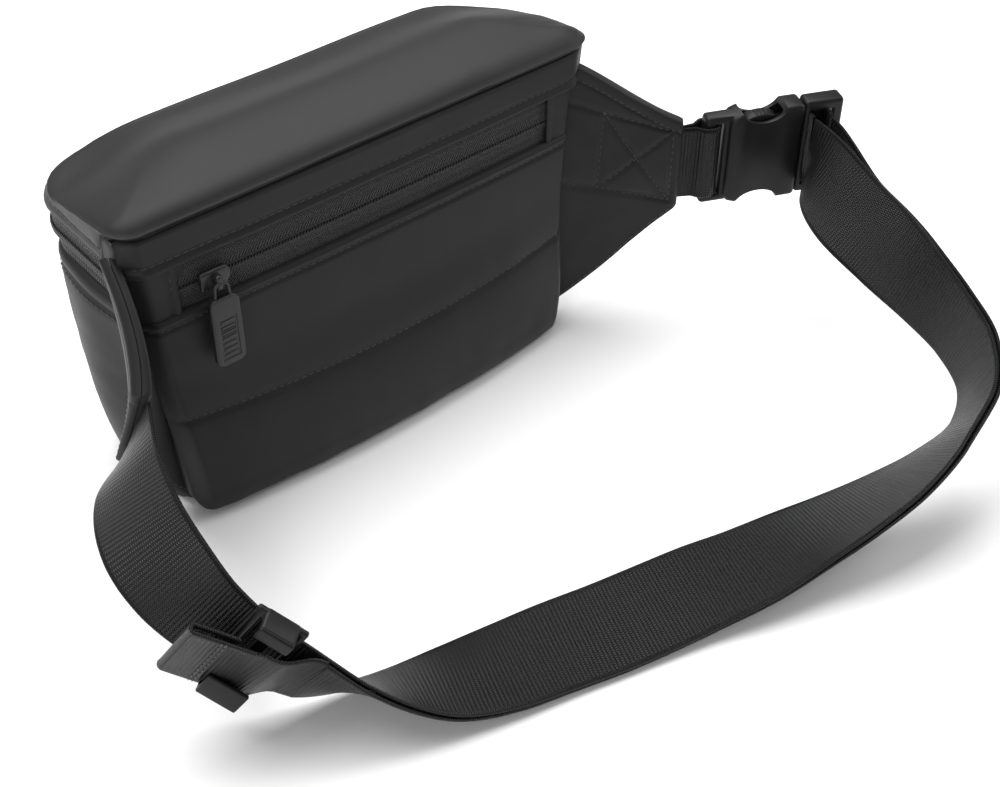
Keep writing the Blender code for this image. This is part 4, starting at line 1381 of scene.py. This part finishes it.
def web_section():
    """Half outline of the webbing: flat middle and a slightly thicker knitted edge."""
    half = WEB_WIDTH / 2
    side = []
    for a in np.linspace(-1, 1, 17):
        x = a * (half - 0.9 * MM)
        edge = smooth((abs(x) - half + 3.0 * MM) / (1.2 * MM))
        side.append((x, 0.72 * MM + 0.13 * MM * edge))
    right = [(half - 0.9 * MM + 0.9 * MM * math.cos(a), 0.85 * MM * math.sin(a))
             for a in np.radians([60, 30, 0, -30, -60])]
    left = [(-x, -y) for x, y in right]
    return side + right + [(x, -y) for x, y in reversed(side)] + left


def web_mesh(name, frames, start=0.0):
    """Webbing swept through (centre, width, outward) frames, with its run in the UV map."""
    section = web_section()
    verts, uvs = [], []
    run = start
    before = None
    for centre, width, out in frames:
        if before is not None:
            run += (centre - before).length
        before = centre
        for x, y in section:
            verts.append(centre + width * x + out * y)
            uvs.append((x, run))
    faces = ring_faces(len(frames), len(section))
    return make_piece(name, verts, faces, "webbing", uvs, angle=60), run


def wing_entry(last):
    """Frames that carry the webbing on from its last frame to between the left wing's layers."""
    centre, width, out = last
    deep, _ = wing_frame(-1, 0.70, 0.5)
    top, _ = wing_frame(-1, 0.85, 0.9)
    foot, _ = wing_frame(-1, 0.85, 0.1)
    stand = (top - foot).normalized()
    along = (deep - centre).normalized()
    frames = []
    for t in np.linspace(0.1, 1, 10):
        turned = width.lerp(stand, smooth(min(float(t) * 1.7, 1)))
        turned = (turned - along * turned.dot(along) * float(t)).normalized()
        face = along.cross(turned).normalized()
        if face.dot(out) < 0:
            face = -face
        frames.append((centre.lerp(deep, float(t)), turned, face))
    return frames


def make_inner_run():
    """Inner layer: from the buckle all the way round, sewn in between the left wing's layers."""
    frames = [belt_frame(float(t)) for t in np.linspace(RUN_FROM, 0.999, 301)]
    frames += wing_entry(frames[-1])
    obj, length = web_mesh("belt_inner", frames, RUN_FROM * BELT_RUN)
    settle(obj, "bag", ["belt_inner_run", "belt_left_run"])


def make_belt():
    make_inner_run()
    make_outer_run()
    for name, lifted, node_name in (("belt_inner_near_buckle", 0, "belt_inner_end"),
                                    ("belt_outer_near_buckle", 1, "belt_outer_end")):
        frames = []
        for t in np.linspace(0.0, RUN_FROM, 40):
            centre, width, out = belt_frame(float(t))
            frames.append((centre + out * layer_offset(float(t)) * lifted, width, out))
        obj, length = web_mesh(name, frames)
        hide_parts(node_name)
        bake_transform(obj)


def make_outer_run():
    """Outer layer: round to the adjuster, up over it, and on as the hemmed end."""
    frames = []
    for t in np.linspace(RUN_FROM, ADJUSTER_AT - 0.045, 230):
        centre, width, out = belt_frame(float(t))
        frames.append((centre + out * layer_offset(float(t)), width, out))
    centre, width, out = belt_frame(ADJUSTER_AT)
    before = frames[-1]
    _, tail_width, tail_out = belt_frame(TAIL_LIKE)
    tail_along = tail_width.cross(tail_out)
    if tail_along.dot(centre - before[0]) < 0:
        tail_along = -tail_along
    rise = centre + out * 10.2 * MM + tail_out * 1.2 * MM
    climb = 10
    for i in range(1, climb + 1):
        t = i / climb
        spot = before[0].lerp(rise, t) - before[2] * 1.6 * MM * math.sin(2 * math.pi * t)
        turned = before[1].lerp(tail_width, smooth(t)).normalized()
        along = (rise - before[0]).normalized()
        turned = (turned - along * turned.dot(along)).normalized()
        frames.append((spot, turned, along.cross(turned) * (
            1 if along.cross(turned).dot(tail_out) > 0 else -1)))
    for s_now in np.linspace(1.5 * MM, TAIL_LENGTH, 14):
        frames.append((rise + tail_along * float(s_now), tail_width, tail_out))
    obj, length = web_mesh("belt_outer", frames, RUN_FROM * BELT_RUN)
    settle(obj, "bag", ["belt_outer_run", "belt_outer_return", "belt_tail"])
    hem = []
    for a in np.linspace(-90, 90, 13):
        turn = math.radians(float(a))
        hem.append((rise + tail_along * (TAIL_LENGTH - 0.6 * MM + 1.5 * MM * math.cos(turn))
                    - tail_out * (1.5 * MM - 1.5 * MM * math.sin(turn) + 0.1 * MM), tail_width,
                    tail_out * math.sin(turn) + tail_along * math.cos(turn)))
    under = [(rise + tail_along * float(d) - tail_out * 3.1 * MM, tail_width, -tail_out)
             for d in np.linspace(8 * MM, TAIL_LENGTH - 1.4 * MM, 8)]
    fold, length = web_mesh("belt_end_fold", under + hem)
    settle(fold, "bag")
    lines = []
    for back in (11.0 * MM, 12.6 * MM):
        middle = rise + tail_along * (TAIL_LENGTH - back) + tail_out * 0.85 * MM
        lines.append([tuple(middle + tail_width * w) for w in np.linspace(-18 * MM, 18 * MM, 12)])
    stitches("belt_end_stitches", lines, "bag")


def path_frames(path, height):
    """Frames for a strip that stands on edge and follows (u, v) points."""
    frames = []
    for i, point in enumerate(path):
        before = Vector(path[max(i - 1, 0)])
        after = Vector(path[min(i + 1, len(path) - 1)])
        along = (after - before).normalized()
        frames.append((Vector((point[0], point[1], height)), Vector((0, 0, 1)),
                       Vector((-along.y, along.x, 0))))
    return frames


# ---------------------------------------------------------------- buckle

def buckle_matrix():
    x = half_width(74 * MM) + 0.8 * MM
    reach = WING_LENGTH + BUCKLE_FROM_WING
    spot = Vector((x + reach * math.cos(WING_ANGLE), WING_ROOT_Y - reach * math.sin(WING_ANGLE),
                   BUCKLE_HEIGHT))
    return Matrix.Translation(spot) @ Matrix.Rotation(-WING_ANGLE, 4, "Z")


def outline_solid(name, outline, thick, finish):
    """Plate of an outline given as (u, z) points, centred on v = 0."""
    count = len(outline)
    verts = [(u, -thick / 2, z) for u, z in outline] + [(u, thick / 2, z) for u, z in outline]
    faces = [tuple(range(count - 1, -1, -1)), tuple(range(count, 2 * count))]
    faces += [(j, (j + 1) % count, count + (j + 1) % count, count + j) for j in range(count)]
    return make_piece(name, verts, faces, finish)


def make_buckle():
    """Housing, plug and arms with the curves of a moulded side release buckle."""
    here = buckle_matrix()
    half = 25 * MM
    hood = outline_solid("buckle_housing", [
        (9.0 * MM, -half + 5 * MM), (11 * MM, -half + 2.2 * MM), (15 * MM, -half + 0.6 * MM),
        (22 * MM, -half), (46 * MM, -half), (46 * MM, half), (22 * MM, half),
        (15 * MM, half - 0.6 * MM), (11 * MM, half - 2.2 * MM), (9.0 * MM, half - 5 * MM),
    ], 13 * MM, "acetal")
    neck = rounded_box("neck", (-2.4 * MM, -4.0 * MM, -23.5 * MM),
                       (16 * MM, 4.0 * MM, 23.5 * MM), 2.2 * MM, "acetal", 4)
    soften(hood, 2.4 * MM, 4)
    combine(hood, [neck], "UNION")
    cuts = [rounded_box("slot", (2.4 * MM, -9 * MM, -20 * MM), (7.3 * MM, 9 * MM, 20 * MM), 0,
                        "acetal"),
            rounded_box("mouth", (13 * MM, -3.9 * MM, -21.6 * MM), (60 * MM, 3.9 * MM, 21.6 * MM),
                        0, "acetal")]
    for sign in (1, -1):
        lo, hi = sorted((sign * 15.5 * MM, sign * 32 * MM))
        cuts.append(rounded_box("window", (17 * MM, -4.4 * MM, lo), (36 * MM, 4.4 * MM, hi),
                                2.4 * MM, "acetal", 4))
        scoop = outline_solid("scoop", [
            (25.8 * MM + 11 * MM * math.cos(a), sign * (25.5 * MM + 7 * MM * math.sin(a)))
            for a in np.linspace(0, 2 * math.pi, 40, endpoint=False)], 20 * MM, "acetal")
        cuts.append(scoop)
    combine(hood, cuts, "DIFFERENCE")
    soften(hood, 0.45 * MM)
    place(hood, here)
    settle(hood, "bag", ["buckle_female"])

    plug = rounded_box("buckle_plug", (46.5 * MM, -4.8 * MM, -half), (66 * MM, 4.8 * MM, half),
                       0, "acetal")
    soften(plug, 2.0 * MM, 4)
    tongue = rounded_box("tongue", (17 * MM, -2.4 * MM, -4.5 * MM), (50 * MM, 2.4 * MM, 4.5 * MM),
                         0.8 * MM, "acetal")
    combine(plug, [tongue], "UNION")
    cuts = [rounded_box("slot", (48.8 * MM, -9 * MM, -20.4 * MM), (52 * MM, 9 * MM, 20.4 * MM),
                        0, "acetal"),
            rounded_box("end", (57 * MM, -9 * MM, -20.4 * MM), (61.4 * MM, 9 * MM, 20.4 * MM),
                        0, "acetal")]
    for lo, hi in ((2.4 * MM, 9 * MM), (-9 * MM, -2.4 * MM)):
        cuts.append(rounded_box("relief", (51.4 * MM, lo, -20.4 * MM), (61.4 * MM, hi, 20.4 * MM),
                                0, "acetal"))
    combine(plug, cuts, "DIFFERENCE")
    soften(plug, 0.6 * MM, 3)
    place(plug, here)
    settle(plug, "buckle_male", ["buckle_male"])

    for sign, name in ((1, "latch_arm_upper"), (-1, "latch_arm_lower")):
        lo, hi = sorted((sign * 13.5 * MM, sign * 17.2 * MM))
        stem = rounded_box(name + "_moulded", (19 * MM, -3.3 * MM, lo), (46.2 * MM, 3.3 * MM, hi),
                           0.8 * MM, "acetal")
        crest = [(25.5 * MM + 8 * MM * math.cos(a), sign * (18 + 3.3 * math.sin(a)) * MM)
                 for a in np.linspace(math.pi, 0, 15)]
        pad = outline_solid("pad", [(33.3 * MM, sign * 16 * MM), (17.7 * MM, sign * 16 * MM)]
                            + crest, 7.0 * MM, "acetal")
        soften(pad, 0.9 * MM, 3)
        ridges = []
        for k in range(4):
            u = mix(23, 28, k / 3) * MM
            a, b = sorted((sign * 20.2 * MM, sign * 21.45 * MM))
            ridges.append(rounded_box("ridge", (u - 0.5 * MM, -2.6 * MM, a),
                                      (u + 0.5 * MM, 2.6 * MM, b), 0.3 * MM, "acetal", 2))
        combine(stem, [pad] + ridges, "UNION")
        soften(stem, 0.25 * MM)
        place(stem, here)
        settle(stem, name, [name])
    make_buckle_webbing(here)


def make_buckle_webbing(here):
    """Webbing loops: one sewn to the right wing, one round the plug's middle bar."""
    path = [(-15 * MM, 0.9 * MM), (-11.6 * MM, 1.1 * MM), (-6.5 * MM, 1.8 * MM),
            (-4.6 * MM, 3.4 * MM), (-2.6 * MM, 4.9 * MM)]
    path += arc(0.6 * MM, 0, 5.2 * MM, 100, -100, 18)
    path += [(-2.6 * MM, -4.9 * MM), (-4.6 * MM, -3.4 * MM), (-6.5 * MM, -1.8 * MM),
             (-11.6 * MM, -1.1 * MM), (-15 * MM, -0.9 * MM)]
    obj, length = web_mesh("right_wing_webbing", path_frames(path, 0))
    place(obj, here)
    settle(obj, "bag", ["right_webbing_loop"])
    turn = 4.5 * MM
    path = [(END_BAR - turn, -7.9 * MM), (END_BAR - turn, -5.4 * MM), (END_BAR - turn, -2.5 * MM)]
    path += arc(END_BAR, 0, turn, 180, 0, 18)
    path += [(END_BAR + turn, -2.5 * MM), (END_BAR + turn, -5.4 * MM),
             (END_BAR + turn - 0.4 * MM, -7.9 * MM)]
    obj, length = web_mesh("belt_wrap_at_plug", path_frames(path, 0))
    place(obj, here)
    settle(obj, "buckle_male", ["belt_wrap"])


def make_adjuster():
    """Slide adjuster: a ladder frame with raised, rounded ends and a ribbed middle bar."""
    centre, width, out = belt_frame(ADJUSTER_AT)
    along = (-width).cross(out)
    turn = Matrix((along, -width, out)).transposed().to_4x4()
    here = Matrix.Translation(centre + width * 4.0 * MM) @ turn
    base = rounded_box("adjuster_frame", (-10.5 * MM, -23.5 * MM, 2.9 * MM),
                       (10.5 * MM, 23.5 * MM, 5.6 * MM), 1.0 * MM, "acetal", 3)
    raised = []
    for side, inward, reach in ((-1, 17.5, 7.0 * MM), (1, 12.0, 8.5 * MM)):
        lo, hi = sorted((side * 20.4 * MM, side * 23.6 * MM))
        raised.append(rounded_box("end", (-reach, lo, 2.6 * MM), (reach, hi, 13.2 * MM),
                                  1.3 * MM, "acetal", 4))
        lo, hi = sorted((side * inward * MM, side * 23.6 * MM))
        raised.append(rounded_box("plate", (-reach, lo, 11.9 * MM), (reach, hi, 13.8 * MM),
                                  0.9 * MM, "acetal", 4))
    combine(base, raised, "UNION")
    slots = []
    for side in (-1, 1):
        lo, hi = sorted((side * 2.2 * MM, side * 7.6 * MM))
        slots.append(rounded_box("slot", (lo, -19.9 * MM, 0), (hi, 19.9 * MM, 12 * MM), 0,
                                 "acetal"))
    combine(base, slots, "DIFFERENCE")
    soften(base, 0.4 * MM)
    place(base, here)
    settle(base, "bag", ["tri_glide"])


# ---------------------------------------------------------------- stage

CAMERA_FROM = Vector((-0.30607, -0.48120, 0.48569))
CAMERA_TURN = (math.radians(-40.26), math.radians(41.61), math.radians(0.17))
CAMERA_LENS = 56.7


def camera_axes():
    azimuth, elevation, roll = CAMERA_TURN
    back = Vector((math.sin(azimuth) * math.cos(elevation),
                   -math.cos(azimuth) * math.cos(elevation), math.sin(elevation)))
    right = Vector((math.cos(azimuth), math.sin(azimuth), 0))
    up = back.cross(right)
    turned_right = right * math.cos(roll) + up * math.sin(roll)
    turned_up = up * math.cos(roll) - right * math.sin(roll)
    return turned_right, turned_up, back


def make_stage():
    scene = bpy.context.scene
    camera = bpy.data.objects.new("camera", bpy.data.cameras.new("camera"))
    scene.collection.objects.link(camera)
    right, up, back = camera_axes()
    turn = Matrix((right, up, back)).transposed().to_4x4()
    camera.matrix_world = Matrix.Translation(CAMERA_FROM) @ turn
    camera.data.lens = CAMERA_LENS
    camera.data.sensor_width = 36
    camera.data.clip_start = 0.01
    scene.camera = camera
    scene.view_settings.view_transform = "Standard"

    half = 3.0
    mesh = bpy.data.meshes.new("floor")
    mesh.from_pydata([(-half, -half, -0.0002), (half, -half, -0.0002), (half, half, -0.0002),
                      (-half, half, -0.0002)], [], [(0, 1, 2, 3)])
    floor = bpy.data.objects.new("floor", mesh)
    scene.collection.objects.link(floor)
    mat = bpy.data.materials.new("floor_paper")
    mat.use_nodes = True
    shader = mat.node_tree.nodes["Principled BSDF"]
    shader.inputs["Base Color"].default_value = (0.93, 0.93, 0.93, 1)
    shader.inputs["Roughness"].default_value = 0.9
    shader.inputs["Specular IOR Level"].default_value = 0.1
    mesh.materials.append(mat)

    world = bpy.data.worlds.new("studio")
    scene.world = world
    world.use_nodes = True
    background = world.node_tree.nodes["Background"]
    background.inputs["Color"].default_value = (1, 1, 1, 1)
    background.inputs["Strength"].default_value = 0.30
    for name, spot, size, power in (
            ("top_softbox", (0.05, 0.40, 1.35), (1.9, 1.3), 38),
            ("left_strip", (-1.1, -0.75, 0.8), (0.3, 1.1), 5),
            ("right_strip", (1.2, -0.5, 0.8), (0.3, 1.1), 6)):
        data = bpy.data.lights.new(name, "AREA")
        data.shape = "RECTANGLE"
        data.size, data.size_y = size
        data.energy = power
        lamp = bpy.data.objects.new(name, data)
        scene.collection.objects.link(lamp)
        lamp.location = spot
        aim = Vector((0.02, -0.08, 0.05)) - Vector(spot)
        lamp.rotation_euler = aim.to_track_quat("-Z", "Y").to_euler()


# ---------------------------------------------------------------- operators

class BagStep(bpy.types.Operator):
    """Shared start of the bag's operators"""
    bl_options = {"REGISTER", "UNDO"}

    def execute(self, context):
        self.make()
        return {"FINISHED"}


class BAG_OT_stage(BagStep):
    """Set the camera, the floor and the soft lights"""
    bl_idname = "bag.stage"
    bl_label = "Stage"

    def make(self):
        make_stage()


class BAG_OT_tub(BagStep):
    """Make the padded tub, its lining and the upper back wall"""
    bl_idname = "bag.tub"
    bl_label = "Tub and lining"

    def make(self):
        make_tub()
        make_lining()
        make_upper_wall()


class BAG_OT_lid(BagStep):
    """Make the crowned lid"""
    bl_idname = "bag.lid"
    bl_label = "Lid"

    def make(self):
        make_lid()


class BAG_OT_back(BagStep):
    """Make the padded back panel and the yoke above the rear zip"""
    bl_idname = "bag.back"
    bl_label = "Back"

    def make(self):
        make_back_panel()
        make_yoke()


class BAG_OT_zips(BagStep):
    """Make both zips with their sliders and pulls"""
    bl_idname = "bag.zips"
    bl_label = "Zips"

    def make(self):
        make_rear_zip()
        make_main_zip()
        make_slider("rear", "rear_slider", "rear_pull", -1)
        make_slider("main", "main_slider", "main_pull", 1)


class BAG_OT_wings(BagStep):
    """Make the padded wings and their sewn boxes"""
    bl_idname = "bag.wings"
    bl_label = "Wings"

    def make(self):
        make_wings()


class BAG_OT_belt(BagStep):
    """Make the webbing belt"""
    bl_idname = "bag.belt"
    bl_label = "Belt"

    def make(self):
        make_belt()


class BAG_OT_buckle(BagStep):
    """Make the side release buckle and the slide adjuster"""
    bl_idname = "bag.buckle"
    bl_label = "Buckle and adjuster"

    def make(self):
        make_buckle()
        make_adjuster()


STEPS = ("stage", "tub", "lid", "back", "zips", "wings", "belt", "buckle")


class BAG_PT_sidebar(bpy.types.Panel):
    """Sizes, colours and steps of the waist bag"""
    bl_idname = "BAG_PT_sidebar"
    bl_label = "Waist bag"
    bl_space_type = "VIEW_3D"
    bl_region_type = "UI"
    bl_category = "Waist bag"

    def draw(self, context):
        for group in (context.scene.bag_sizes, context.scene.bag_colours):
            for key in group.bl_rna.properties.keys():
                if key not in {"rna_type", "name"}:
                    self.layout.prop(group, key)
        for step in STEPS:
            self.layout.operator("bag." + step)


CLASSES = (BagSizes, BagColours, BAG_OT_stage, BAG_OT_tub, BAG_OT_lid, BAG_OT_back,
           BAG_OT_zips, BAG_OT_wings, BAG_OT_belt, BAG_OT_buckle, BAG_PT_sidebar)


def register():
    for cls in CLASSES:
        bpy.utils.register_class(cls)
    bpy.types.Scene.bag_sizes = bpy.props.PointerProperty(type=BagSizes)
    bpy.types.Scene.bag_colours = bpy.props.PointerProperty(type=BagColours)


def unregister():
    del bpy.types.Scene.bag_colours
    del bpy.types.Scene.bag_sizes
    for cls in reversed(CLASSES):
        bpy.utils.unregister_class(cls)


def main():
    register()
    for step in STEPS:
        getattr(bpy.ops.bag, step)()


if __name__ == "__main__":
    main()
